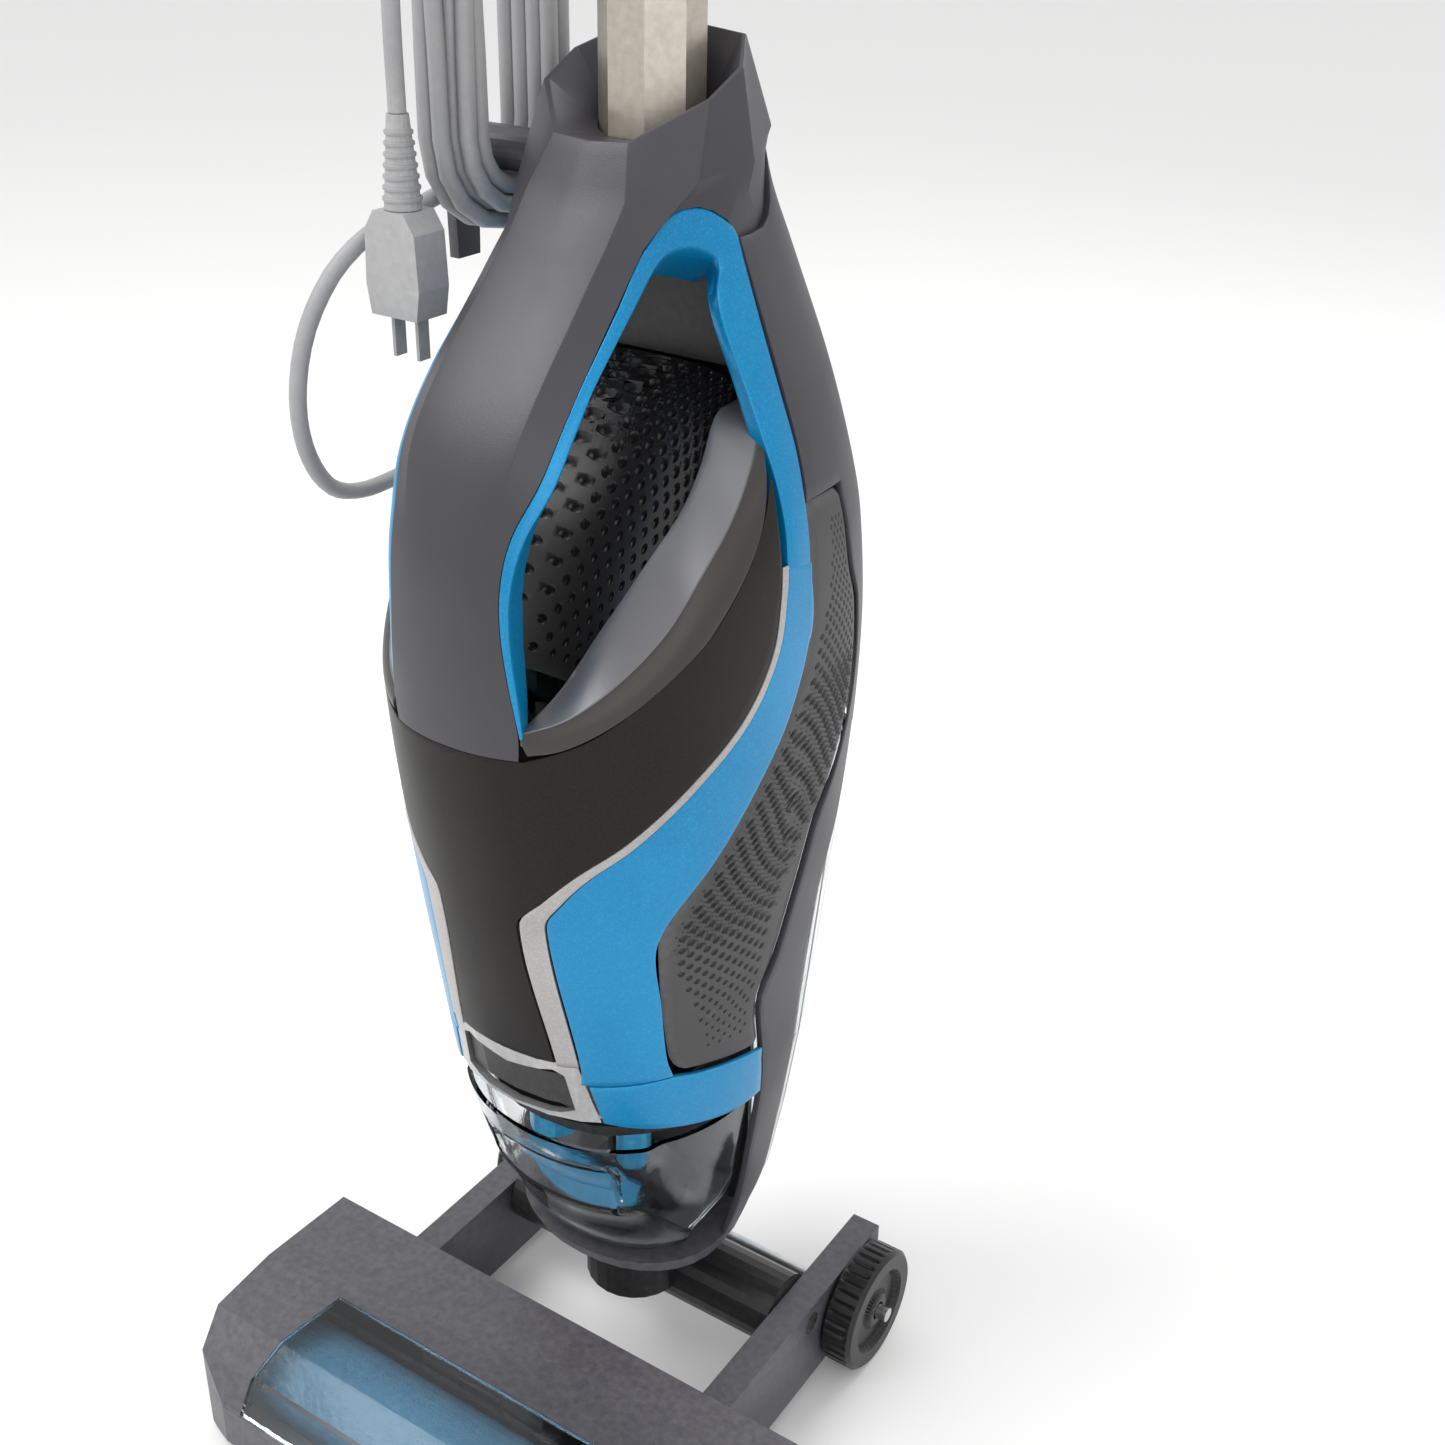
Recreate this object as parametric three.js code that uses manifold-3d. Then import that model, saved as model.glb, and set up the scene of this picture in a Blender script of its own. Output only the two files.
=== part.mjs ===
import * as THREE from 'three';
import { mergeVertices } from 'three/addons/utils/BufferGeometryUtils.js';
import Module from 'manifold-3d';

// Upright wet-and-dry floor washer. Millimetres, +Z up, the front faces -Y, X = 0 is the mirror plane.
// The upright is a leaf-shaped housing with a carry handle, standing on a wheeled floor head.

const wasm = await Module();
wasm.setup();

// ---- driving dimensions ----
const gap = 0.3;            // clearance between pieces that touch
const slack = 0.6;          // clearance round pieces that move
const wall = 2.6;           // housing wall
const insetProud = 1.2;     // how deep the grip insets start under the housing's face
const tankWall = 2.4;       // wall of the clear tanks
const yAxis = 52;           // pole axis behind the middle of the footprint
const pinWidth = 4;
const archWidth = 11;
const archDepth = 9;
const notchTop = 263;
const leafGrow = 0;         // added all round to the housing's half width

// floor head
const headWidth = 300;
const headFront = -147;     // front edge of the floor head
const headDepth = 118;      // brush chamber part, front to back
const headHeight = 72;
const armInnerX = 86;       // the two rear arms that carry the hinge and the wheels
const armWidth = 16;
const armBack = 128;
const armHeight = 62;
const floorGap = 3;         // under the floor head's base
const hingeY = 56;
const hingeZ = 50;
const hingeRadius = 6;
const wheelRadius = 34;
const wheelWidth = 18;
const wheelY = 98;
const axleRadius = 4;
const brushRadius = 26;
const brushLength = 256;
const brushCoreRadius = 17;
const brushY = headFront + 44;
const brushZ = 27;
const brushPulley = 11;
const motorPulley = 7;

// neck and upright
const neckRadius = 27;
const neckTop = 100;
const neckY = yAxis - 12;
const pinRadius = 10;
const leafBottom = 96;
const leafTop = 690;
const rimZ = 216;           // joint between the housing and the front tank
const armZ = 428;           // lower edge of the carry handle's arm
const armHalf = 35;         // half width of the carry handle's arm
const poleHalfX = 23;
const poleHalfY = 19;
const poleWall = 2;
const poleBottom = 612;
const socketTop = 640;
const gripTop = 1130;
const poleTop = gripTop - 145;

// cord
const cordDiameter = 7.5;
const hookLowZ = 632;
const hookHighZ = 900;
const hankX = -72;          // middle of the wound cord
const hankThick = 30;
const hankBand = 23;
const hankHalf = 42;        // half of the hank's outside width, along Y
const hookRadius = 9;

// ---- materials ----
const plastic = (color, roughness = 0.45, metalness = 0) =>
  new THREE.MeshStandardMaterial({ color, roughness, metalness });
const charcoal = plastic(0x3a3b41, 0.42);
const black = plastic(0x141416, 0.4);
const blue = plastic(0x0a9ccc, 0.3, 0.35);
const silver = plastic(0xc4c4c6, 0.3, 0.8);
const satinGrey = plastic(0x6d6e73, 0.45);
const insetGrey = plastic(0x303136, 0.6);
const champagne = plastic(0xa59c8e, 0.3, 0.85);
const steel = plastic(0x9a9ca0, 0.3, 1);
const rubber = plastic(0x1a1a1b, 0.8);
const whitePlastic = plastic(0xdcdcda, 0.5);
const green = plastic(0x1d5a3a, 0.5);
const fibre = plastic(0x2b7fa8, 0.95);
const clear = new THREE.MeshStandardMaterial({ color: 0xc9d2d6, roughness: 0.08, transparent: true,
  opacity: 0.35 });

// ---- solids ----
function toSolid(geometry) {
  const plain = geometry.clone();
  plain.deleteAttribute('normal');
  plain.deleteAttribute('uv');
  const merged = mergeVertices(plain, 1e-4);
  return new wasm.Manifold(new wasm.Mesh({
    numProp: 3,
    vertProperties: new Float32Array(merged.attributes.position.array),
    triVerts: new Uint32Array(merged.index.array),
  }));
}

function toGeometry(solid) {
  const mesh = solid.getMesh();
  const geometry = new THREE.BufferGeometry();
  const positions = [];
  for (let i = 0; i < mesh.vertProperties.length; i += mesh.numProp) {
    positions.push(mesh.vertProperties[i], mesh.vertProperties[i + 1], mesh.vertProperties[i + 2]);
  }
  geometry.setAttribute('position', new THREE.Float32BufferAttribute(positions, 3));
  geometry.setIndex(Array.from(mesh.triVerts));
  return geometry;
}

const group = new THREE.Group();

function place(name, solid, material) {
  const isSolid = typeof solid.getMesh === 'function';
  const mesh = new THREE.Mesh(isSolid ? toGeometry(solid) : solid, material);
  mesh.name = name;
  group.add(mesh);
  return solid;
}

const shapeFrom = (points) => new THREE.Shape(points.map(([u, v]) => new THREE.Vector2(u, v)));
const smooth = (points, count) =>
  new THREE.SplineCurve(points.map(([u, v]) => new THREE.Vector2(u, v))).getPoints(count)
  .map((p) => [p.x, p.y]);

// A side-view outline (y, z) pushed along X.
function prismX(points, x0, x1) {
  const geometry = new THREE.ExtrudeGeometry(shapeFrom(points), { depth: x1 - x0, bevelEnabled: false });
  const toWorld = new THREE.Matrix4().set(0, 0, 1, x0, 1, 0, 0, 0, 0, 1, 0, 0, 0, 0, 0, 1);
  return toSolid(geometry.applyMatrix4(toWorld));
}

// A plan outline (x, y) pushed along Z.
function prismZ(points, z0, z1) {
  const geometry = new THREE.ExtrudeGeometry(shapeFrom(points), { depth: z1 - z0, bevelEnabled: false });
  return toSolid(geometry.translate(0, 0, z0));
}

// A front-view outline (x, z) pushed along Y.
function prismY(points, y0, y1) {
  const geometry = new THREE.ExtrudeGeometry(shapeFrom(points), { depth: y1 - y0, bevelEnabled: false });
  const toWorld = new THREE.Matrix4().set(1, 0, 0, 0, 0, 0, -1, y1, 0, 1, 0, 0, 0, 0, 0, 1);
  return toSolid(geometry.applyMatrix4(toWorld));
}

const box = (x0, x1, y0, y1, z0, z1) => toSolid(new THREE.BoxGeometry(x1 - x0, y1 - y0, z1 - z0)
  .translate((x0 + x1) / 2, (y0 + y1) / 2, (z0 + z1) / 2));

const rodX = (radius, x0, x1, y, z, sides = 24) => toSolid(new THREE.CylinderGeometry(radius, radius,
  x1 - x0, sides)
  .rotateZ(Math.PI / 2).translate((x0 + x1) / 2, y, z));
const rodY = (radius, x, y0, y1, z, sides = 24) =>
  toSolid(new THREE.CylinderGeometry(radius, radius, y1 - y0, sides).translate(x, (y0 + y1) / 2, z));
const rodZ = (radius, x, y, z0, z1, sides = 24) => toSolid(new THREE.CylinderGeometry(radius, radius,
  z1 - z0, sides)
  .rotateX(Math.PI / 2).translate(x, y, (z0 + z1) / 2));

const turned = (profile, sides, x, y, z) =>
  toSolid(new THREE.LatheGeometry(profile.map(([r, h]) => new THREE.Vector2(r, h)), sides)
    .rotateX(Math.PI / 2).translate(x, y, z));

// A closed body through rings that all have the same number of points.
function loft(rings) {
  const count = rings[0].length;
  const positions = rings.flat(2);
  const middle = (ring) => [0, 1, 2].map((k) => ring.reduce((sum, p) => sum + p[k], 0) / count);
  positions.push(...middle(rings[0]), ...middle(rings[rings.length - 1]));
  const index = [];
  for (let r = 0; r + 1 < rings.length; r += 1) {
    for (let i = 0; i < count; i += 1) {
      const a = r * count + i;
      const b = r * count + (i + 1) % count;
      index.push(a, b, b + count, a, b + count, a + count);
    }
  }
  const low = rings.length * count;
  const last = (rings.length - 1) * count;
  for (let i = 0; i < count; i += 1) {
    const next = (i + 1) % count;
    index.push(low, next, i, low + 1, last + i, last + next);
  }
  const geometry = new THREE.BufferGeometry();
  geometry.setAttribute('position', new THREE.Float32BufferAttribute(positions, 3));
  geometry.setIndex(index);
  return toSolid(geometry);
}

// ---- the leaf-shaped housing ----
// Each station: height, half width, y of the widest line, front y, back y.
const stations = [
  [leafBottom, 56, 2, -44, 48],
  [130, 66, 2, -60, 74],
  [170, 72, 0, -74, 84],
  [rimZ, 78, -2, -87, 90],
  [265, 80, 0, -97, 100],
  [350, 84, 5, -112, 112],
  [armZ, 87, 9, -122, 112],
  [485, 87, 10, -124, 100],
  [515, 82, 11, -120, 93],
  [553, 70, 12, -103, 86],
  [600, 54, 14, -60, 70],
  [630, 45, 16, -32, 58],
  [660, 40, 17, -22, 55],
  [leafTop, 36, 18, -18, 54],
];
const leafHeights = stations.map((station) => station[0]);

function stationAt(z) {
  let i = 0;
  while (i < stations.length - 2 && z > stations[i + 1][0]) i += 1;
  const [low, high] = [stations[i], stations[i + 1]];
  const t = (z - low[0]) / (high[0] - low[0]);
  return low.map((value, k) => value + (high[k] - value) * t);
}

const ringSides = 32;
const frontPower = 2.2;
const backPower = 2.8;
const halfWidthAt = (z) => stationAt(z)[1] + leafGrow;
const frontAt = (z) => stationAt(z)[3] + yAxis - 17 - leafGrow;
const backAt = (z) => stationAt(z)[4] + yAxis - 17 + leafGrow;
const middleAt = (z) => stationAt(z)[2] + yAxis - 17;

function leafRing(z, inset, sides = ringSides) {
  const ring = [];
  for (let i = 0; i < sides; i += 1) {
    const angle = (2 * Math.PI * i) / sides;
    const [c, s] = [Math.cos(angle), Math.sin(angle)];
    const power = s < 0 ? frontPower : backPower;
    const reach = s < 0 ? middleAt(z) - frontAt(z) : backAt(z) - middleAt(z);
    const x = Math.sign(c) * Math.abs(c) ** (2 / power) * (halfWidthAt(z) - inset);
    const y = middleAt(z) + Math.sign(s) * Math.abs(s) ** (2 / power) * (reach - inset);
    ring.push([x, y, z]);
  }
  return ring;
}

function leaf(inset, z0 = leafBottom, z1 = leafTop) {
  const heights = [z0, ...leafHeights.filter((z) => z > z0 + 1 && z < z1 - 1), z1];
  return loft(heights.map((z) => leafRing(z, inset)));
}

const skin = (outer, inner) => leaf(outer).subtract(leaf(inner, leafBottom - 20, leafTop + 20));
// The side-view outlines below are drawn with the pole axis at y = 17.
const shift = (points) => points.map(([y, z]) => [y + yAxis - 17, z]);
const sideCut = (points, x0 = -200, x1 = 200) => prismX(shift(points), x0, x1);

// A line moved sideways by a distance, to its left-hand side.
function beside(line, distance) {
  return line.map(([y, z], i) => {
    const a = line[Math.max(i - 1, 0)];
    const b = line[Math.min(i + 1, line.length - 1)];
    const length = Math.hypot(b[0] - a[0], b[1] - a[1]);
    return [y - ((b[1] - a[1]) / length) * distance, z + ((b[0] - a[0]) / length) * distance];
  });
}

// A closed outline, drawn clockwise, moved outwards by a distance.
function grown(outline, distance) {
  const wrapped = [outline[outline.length - 1], ...outline, outline[0]];
  return beside(wrapped, distance).slice(1, -1);
}

// The band between a line and its copy moved sideways.
const strip = (line, width) => [...line, ...beside(line, width).reverse()];

// Side-view lines (y, z).
const frontLegOuter = [[-115, 438], [-118, 470], [-118, 503], [-105, 532], [-74, 566], [-34, 612]];
const archTop = [[-24, 625], [-10, 629], [4, 624], [10, 612]];
const rearLegOuter = [[12, 579], [11, 537], [7, 512], [10, 484], [10, 448], [-3, 416], [-23, 390],
  [-45, 364]];
const panelLow = [[-66, 340], [-70, 326], [-61, 260], [-54, 250], [-43, 247], [-2, 237], [1, 208]];
const panelBase = [[-26, 211], [-55, 218], [-78, 226]];
const pinLine = [[-88, 262], [-104, 344], [-102, 357], [-96, 370], [-82, 383], [-57, 404], [-30, 426],
  [-14, 450], [-9, 477]];
const rearLegInner = [[-13, 500], [-15, 529], [-11, 569], [-6, 592]];
const frontLegInner = [[-62, 557], [-95, 521], [-106, 496], [-108, 470], [-111, 450]];
const ledgeLine = [[24, 528], [-4, 512], [-45, 481], [-75, 461], [-100, 447], [-124, 441]];

const insetOutline = [[7, 508], [9.5, 484], [9.5, 447], [-4, 414], [-24, 388], [-46, 362], [-66, 336],
  [-69, 326],
  [-60, 262], [-54, 252], [-43, 249], [-4, 239], [-8, 268], [4, 285], [20, 320], [32, 347], [50, 370],
  [63, 405],
  [59, 447], [47, 470], [38, 503]];
const stripRear = [[72, 378], [62, 338], [42, 299], [36, 262], [33, 239], [30, 178], [26, 136],
  [12, 106]];
const stripFront = [[2, 112], [3, 150], [2, 206], [-1, 236], [-6, 268], [6, 285], [22, 320], [34, 347],
  [52, 370],
  [65, 405], [61, 447], [49, 470], [40, 503], [9, 512], [13, 537], [14, 579], [11, 612]];
const seamTop = [[30, 626], [80, 640]];

// Carry handle: the collar round the pole and the arm in front of the opening, one moulding.
const armRegion = shift([[-150, armZ], [-98, armZ], [-98, 440], [-104, 452],
  ...[...frontLegInner].reverse().slice(1),
  [-30, 592], [-16, 606], [11, 614], ...seamTop, [150, 640], [150, 720], [-150, 720]]);
const collarTop = shift([[-150, 632], [-40, 632], [62, 700], [62, 760], [-150, 760]]);
const poleHole = (clearance, z0, z1) => toSolid(new THREE.CylinderGeometry(1, 1, z1 - z0, 8)
  .rotateX(Math.PI / 2).rotateZ(Math.PI / 8).scale(poleHalfX + clearance, poleHalfY + clearance, 1)
  .translate(0, yAxis, (z0 + z1) / 2));
const handleWidth = prismY([[-armHalf, armZ - 10], [armHalf, armZ - 10], [armHalf + 3, 520],
  [armHalf + 9, 560],
  [armHalf + 30, 604], [armHalf + 30, 730], [-armHalf - 30, 730], [-armHalf - 30, 604],
  [-armHalf - 9, 560],
  [-armHalf - 3, 520]], -200, 200);
const armHollow = leaf(wall).intersect(prismX(shift([[-140, armZ - 5], [-112, armZ - 5], [-112, 500],
  [-98, 524],
  [-62, 562], [-30, 598], [-20, 616], [-60, 640], [-140, 560]]), -armHalf + wall, armHalf - wall));

// Blue side frames: arch over the opening, ribbon and lower panel in one moulding per side.
const archLine = [...frontLegOuter, ...archTop];
const frameOutlines = [
  [strip(archLine, -archWidth), archDepth],
  [[...archTop.slice(1), ...rearLegOuter.slice(0, 3), ...rearLegInner], archDepth],
  [[...rearLegOuter.slice(1), ...panelLow, ...panelBase, ...pinLine, ...rearLegInner.slice(0, 2)], wall],
];
const frameSolid = (outset, x0 = -200, x1 = 200) => frameOutlines
  .map(([outline, depth]) => skin(-outset, depth + outset)
  .intersect(sideCut(grown(outline, outset), x0, x1)))
  .reduce((all, one) => all.add(one));
const blueZone = frameSolid(gap);
const pinBottom = notchTop + gap;
const funnel = toSolid(new THREE.CylinderGeometry(1.32, 1, 34, 8).rotateX(Math.PI / 2)
  .rotateZ(Math.PI / 8)
  .scale(poleHalfX + 4, poleHalfY + 4, 1).rotateX(0.58).translate(0, yAxis - 2, 672));
const carryHandle = leaf(0).intersect(prismX(armRegion, -200, 200)).intersect(handleWidth)
  .subtract(prismX(collarTop, -200, 200)).subtract(blueZone).subtract(poleHole(gap, poleBottom - 5, 760))
  .subtract(funnel).subtract(armHollow).subtract(poleHole(6 + gap, 560, socketTop + gap));
place('carry_handle', carryHandle, charcoal);

for (const [side, x0, x1] of [['left', -200, -8], ['right', 8, 200]]) {
  place(`side_frame_${side}`, frameSolid(0, x0, x1), blue);
}

// Silver pinstripes along the inner edge of the blue panels.
for (const [side, x0, x1] of [['left', -200, 0], ['right', 0, 200]]) {
  place(`pinstripe_${side}`, skin(0, 2).intersect(sideCut(strip(beside(pinLine, gap), pinWidth), x0, x1))
    .intersect(box(-200, 200, -200, 250, pinBottom, 640)), silver);
}

// Glossy black front panel under the handle arm.
const panelEdge = beside(pinLine, pinWidth + 2 * gap);
const frontPanel = skin(0, wall)
  .intersect(sideCut([[-160, 255], ...panelEdge, [-17, 500], [-10, 507], ...ledgeLine.slice(2),
  [-160, 441]]))
  .subtract(box(-armHalf - 2, armHalf + 2, -200, yAxis - 17 - 85, armZ - gap, 700)).subtract(blueZone);
place('front_panel', frontPanel.intersect(box(-200, 200, -200, 200, pinBottom, 700)), black);

// Light crescent ledge that goes round the grille dome, under the handle arm.
const ledgeUp = 13;
const ledgeIn = 15;
function ledgeRings() {
  const rings = [];
  const at = (t) => {
    const line = ledgeLine.slice(0, 5);
    const k = Math.min(Math.floor(t * 4), 3);
    const f = t * 4 - k;
    return [line[k][0] + (line[k + 1][0] - line[k][0]) * f,
      line[k][1] + (line[k + 1][1] - line[k][1]) * f];
  };
  for (let i = 0; i <= 10; i += 1) {
    const [y, z] = at(i / 10);
    const world = y + yAxis - 17;
    const middle = middleAt(z);
    const reach = world < middle ? middle - frontAt(z) : backAt(z) - middle;
    const power = world < middle ? frontPower : backPower;
    const share = Math.min(Math.abs(world - middle) / reach, 1);
    const x = (halfWidthAt(z) - 2) * (1 - share ** power) ** (1 / power);
    const inY = world < middle ? 5 : 0;
    rings.push([[x, world, z + gap], [x - ledgeIn, world + inY, z + ledgeUp],
      [x - ledgeIn - 2, world + inY, z + ledgeUp - 3],
      [x - 4, world + 1, z - 8]]);
  }
  return rings;
}
for (const side of ['left', 'right']) {
  const rings = ledgeRings();
  const sided = side === 'right' ? rings : rings.map((ring) => ring.map(([x, y, z]) => [-x, y, z]))
    .reverse();
  place(`crescent_ledge_${side}`, loft(sided).intersect(leaf(wall + gap)).subtract(blueZone)
    .intersect(box(-200, 200, -200, yAxis - 8, 400, 600)), satinGrey);
}

// Motor cover with the perforated grille, inside the ledge.
const domeTop = [[-90, 452], [-84, 464], [-68, 492], [-42, 520], [-14, 542], [12, 552], [27, 553]];
const domeLow = [[27, 528], [-2, 510], [-43, 480], [-72, 459], [-84, 450]];
const grilleCover = leaf(20).intersect(sideCut([...domeTop, ...domeLow]))
  .subtract(leaf(20 + wall).intersect(sideCut([[-80, 436], ...domeTop.slice(2)
  .map(([y, z]) => [y + 1, z - wall - 1]),
    [24, 440]])));
place('grille_cover', grilleCover, black);

// Spine shell: wraps the back, and its two side strips run down round the rear tank to the neck.
const tankTopZ = 372;

const baseCap = leaf(0, leafBottom, 112).subtract(rodZ(neckRadius + slack, 0, neckY, 80, 130))
  .intersect(box(-200, 200, -200, 200, 90, 105));
place('spine_shell', skin(0, wall + 1).intersect(sideCut([...stripFront.slice(1),
  ...seamTop.map(([y, z]) => [y, z - 1]),
  [150, 648], [150, tankTopZ + 7], ...stripRear.slice(0, -1), [24, 106], [5, 106]])).subtract(blueZone),
  charcoal);
place('base_cap', baseCap, charcoal);

// Grip insets, set in between the ribbon and the spine shell.
for (const [side, x0, x1] of [['left', -200, 0], ['right', 0, 200]]) {
  place(`grip_inset_${side}`, skin(insetProud, wall + 1).intersect(sideCut(insetOutline))
    .intersect(box(x0, x1, -200, 200, 200, 640))
    .subtract(blueZone), insetGrey);
}

// Wall behind the hand opening, from the collar down to the motor cover.
place('opening_back_wall', leaf(wall + 1 + gap).intersect(box(-90, 90, yAxis + 6, yAxis + 8.5, 554,
  600)), black);

// Tank release: a silver frame in the notch of the front panel, and the button in it.
const notchFrame = prismY([[-42, 226], [42, 226], [36, notchTop], [-36, notchTop]], -200, yAxis - 17);
const notchHole = prismY([[-31, 233], ...smooth([[-24, 229.5], [0, 227.8], [24, 229.5]], 6), [31, 233],
  [29, 255],
  ...smooth([[24, 258], [0, 254], [-24, 258]], 6), [-29, 255]], -200, yAxis - 17);
const buttonTravel = 4;
place('latch_frame', skin(0, 4).intersect(notchFrame).subtract(notchHole).subtract(blueZone), silver);
place('tank_release_button', skin(2, 5 + buttonTravel / 2)
  .intersect(prismY([[-30, 234], [30, 234], [28, 254],
  [-28, 254]], -200, yAxis - 17)), black);

// Internal frame: a back plate and two shelves that the motor, tanks and pump hang on.
const shelfLow = 226;
const motorZ = 440;
const frameX = 56;
const plateY = yAxis + 8;
const chassis = box(-frameX, frameX, plateY, plateY + 3, 106, 524)
  .add(box(-frameX, frameX, yAxis - 95, plateY + 1, shelfLow, shelfLow + 3))
  .add(box(-frameX + 8, frameX - 8, yAxis - 70, plateY + 1, motorZ - 72, motorZ - 69))
  .add(rodZ(22, 0, neckY, 106, 122))
  .add(box(-22, 22, neckY, plateY + 1, 106, 122)).subtract(rodZ(pinRadius + gap, 0, neckY, 100, 118));
place('chassis', chassis.intersect(leaf(wall + 2)), black);

// Vacuum motor, its fan and the fan housing, below the grille.
const motorY = yAxis - 36;
place('vacuum_motor', turned([[0, 0], [33, 0], [36, 4], [36, 50], [30, 58], [10, 58], [10, 62],
  [0, 62]], 24, 0, motorY,
  motorZ - 24), steel);
const fanZ = motorZ - 40;
let fan = turned([[0, -4], [3, -4], [3, 0], [34, 0], [34, 2], [8, 4], [8, 12], [0, 12]], 24, 0, motorY,
  fanZ - 8)
  .add(rodZ(3, 0, motorY, fanZ, motorZ - 24 - gap));
for (let i = 0; i < 7; i += 1) {
  const blade = new THREE.BoxGeometry(22, 1.6, 9).translate(20, 0, 5.5).rotateZ((i * 2 * Math.PI) / 7);
  fan = fan.add(toSolid(blade.translate(0, motorY, fanZ - 8)));
}
place('fan_wheel', fan, whitePlastic);
place('fan_housing', turned([[14, -26], [42, -26], [42, 12], [39, 12], [39, -23], [14, -23], [14, -26]],
  28, 0, motorY,
  fanZ), black);

// Water pump and circuit board.
place('water_pump', rodY(13, -32, yAxis - 52, yAxis - 16, 300)
  .add(box(-43, -21, yAxis - 16, plateY - gap, 289, 311)), black);
place('circuit_board', box(-6, 44, plateY - 2, plateY - gap, 268, 348), green);

// Dirty-water tank: clear, at the front, pulled out forwards; its lip is the finger pocket.
const tankTop = rimZ - 12;
const tankZone = shift([[-150, 108], [-26, 108], [-26, 126], [-1, 150], [-1, tankTop], [-150, tankTop]]);
const lipOutline = (grow) => [[-58 + grow, tankTop], [58 - grow, tankTop], [46 - grow, 150 + grow],
  [-46 + grow, 150 + grow]];
const tankOuter = leaf(10).intersect(prismX(tankZone, -200, 200))
  .add(leaf(1).intersect(prismX(tankZone, -200, 200))
  .intersect(prismY(lipOutline(0), -200, yAxis - 17 - 20)))
  .add(leaf(1).intersect(prismX(shift([[-62, 108], [-26, 108], [-26, 126], [-1, 150], [-1, tankTop],
  [-62, tankTop]]), -200, 200)));
const tankInner = leaf(10 + tankWall).intersect(prismX(shift([[-150, 110.5], [-26 - tankWall, 110.5],
  [-26 - tankWall, 127], [-1 - tankWall, 151], [-1 - tankWall, tankTop + 5], [-150, tankTop + 5]]),
  -200, 200))
  .intersect(box(-58, 58, -200, 200, 100, 300));
const dirtyTank = tankOuter.subtract(tankInner)
  .subtract(prismY([[-40, 158], [40, 158], [46, 186], [-46, 186]], -200, frontAt(180) + 9)
  .intersect(leaf(-1)));
place('dirty_tank', dirtyTank, clear);
const lidHeight = 7;
place('dirty_tank_lid', leaf(12).intersect(prismX(shift([[-150, tankTop + gap], [-4, tankTop + gap],
  [-4, tankTop + lidHeight], [-150, tankTop + lidHeight]]), -200, 200))
  .subtract(rodZ(15, -16, yAxis - 58, 150, 260))
  .subtract(rodZ(9, 26, yAxis - 50, 150, 260)), black);
place('float_cage', turned([[11, -30], [13, -30], [13, -gap], [11, -gap], [11, -30]], 20, -16,
  yAxis - 58, tankTop - gap), blue);
place('float_ball', turned([[0, -9], [6, -6.5], [9, 0], [6, 6.5], [0, 9]], 16, -16, yAxis - 58,
  tankTop - 18), whitePlastic);
place('inlet_tube', turned([[6, -38], [9 - gap, -38], [9 - gap, 6], [6, 6], [6, -38]], 18, 26,
  yAxis - 50, tankTop), blue);
place('tank_strainer', toSolid(new THREE.BoxGeometry(70, 2, 78).rotateX(-0.5)
  .translate(0, yAxis - 58, 150))
  .intersect(leaf(14)).intersect(box(-200, 200, -200, yAxis - 46, 113, tankTop - 48)), blue);

// Clean-water tank: clear, at the back, between the spine shell's side strips.
const rearZone = (inset, low, high) => shift([[72 + inset, high], [63 + inset, 336], [44 + inset, 299],
  [38 + inset, 262], [35 + inset, 239], [32 + inset, 178], [29 + inset, 140], [29 + inset, low],
  [170, low], [170, high]]);
const plateClear = 4;
const cleanTank = leaf(1).intersect(prismX(rearZone(1, 124, tankTopZ), -200, 200))
  .subtract(leaf(1 + tankWall).intersect(prismX(rearZone(1 + plateClear, 124 + tankWall,
  tankTopZ - tankWall), -200, 200)));
const capY = yAxis + 62;
const capRadius = 15;
place('clean_tank', cleanTank.subtract(rodZ(capRadius - 3, 0, capY, 110, 135)), clear);
place('clean_tank_cap', turned([[0, -9], [capRadius, -9], [capRadius, -gap], [capRadius - 3 - gap, -gap],
  [capRadius - 3 - gap, 6], [0, 6]], 24, 0, capY, 124), blue);
place('tank_catch', box(-16, 16, yAxis + 72, yAxis + 84, tankTopZ + gap, tankTopZ + 5), charcoal);

// Pole: faceted tube from inside the collar up to the grip.
const poleTube = poleHole(-gap, poleBottom, poleTop)
  .subtract(poleHole(-gap - poleWall, poleBottom - 5, poleTop + 5));
place('pole', poleTube, champagne);
place('pole_socket', poleHole(6, poleBottom - 8, socketTop)
  .subtract(poleHole(0, poleBottom - gap, socketTop + 5)), black);

// Grip: a closed loop leaning forward over the pole,
// with a trigger inside the loop and two buttons on top.
const gripHalf = 16;
const belowTop = (points) => points.map(([y, drop]) => [y, gripTop - drop]);
const gripOutline = smooth(belowTop([[-24, 162], [-24, 130], [-50, 94], [-82, 58], [-96, 28], [-82, 6],
  [-48, 0], [-10, 10], [20, 40], [30, 84], [28, 130], [26, 162]]), 44);
const gripHole = smooth(belowTop([[4, 106], [-16, 94], [-44, 64], [-66, 38], [-62, 26], [-42, 22], [-16, 36],
  [4, 64], [4, 106]]), 30).slice(0, -1);
const triggerOutline = belowTop([[-30, 94], [-24, 88], [-34, 70], [-52, 46], [-57, 43], [-60, 48],
  [-50, 66], [-38, 86]]);
const triggerHalf = 6;
const buttonSpots = { power: [-4, gripTop - 17], mode: [-30, gripTop - 6] };
const buttonRadius = 6;
const triggerSlot = prismX(shift(belowTop([[-44, 96], [-30, 106], [-10, 90], [-22, 74], [-44, 52], [-64, 30],
  [-74, 42], [-60, 66]])), -triggerHalf - slack, triggerHalf + slack);
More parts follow.
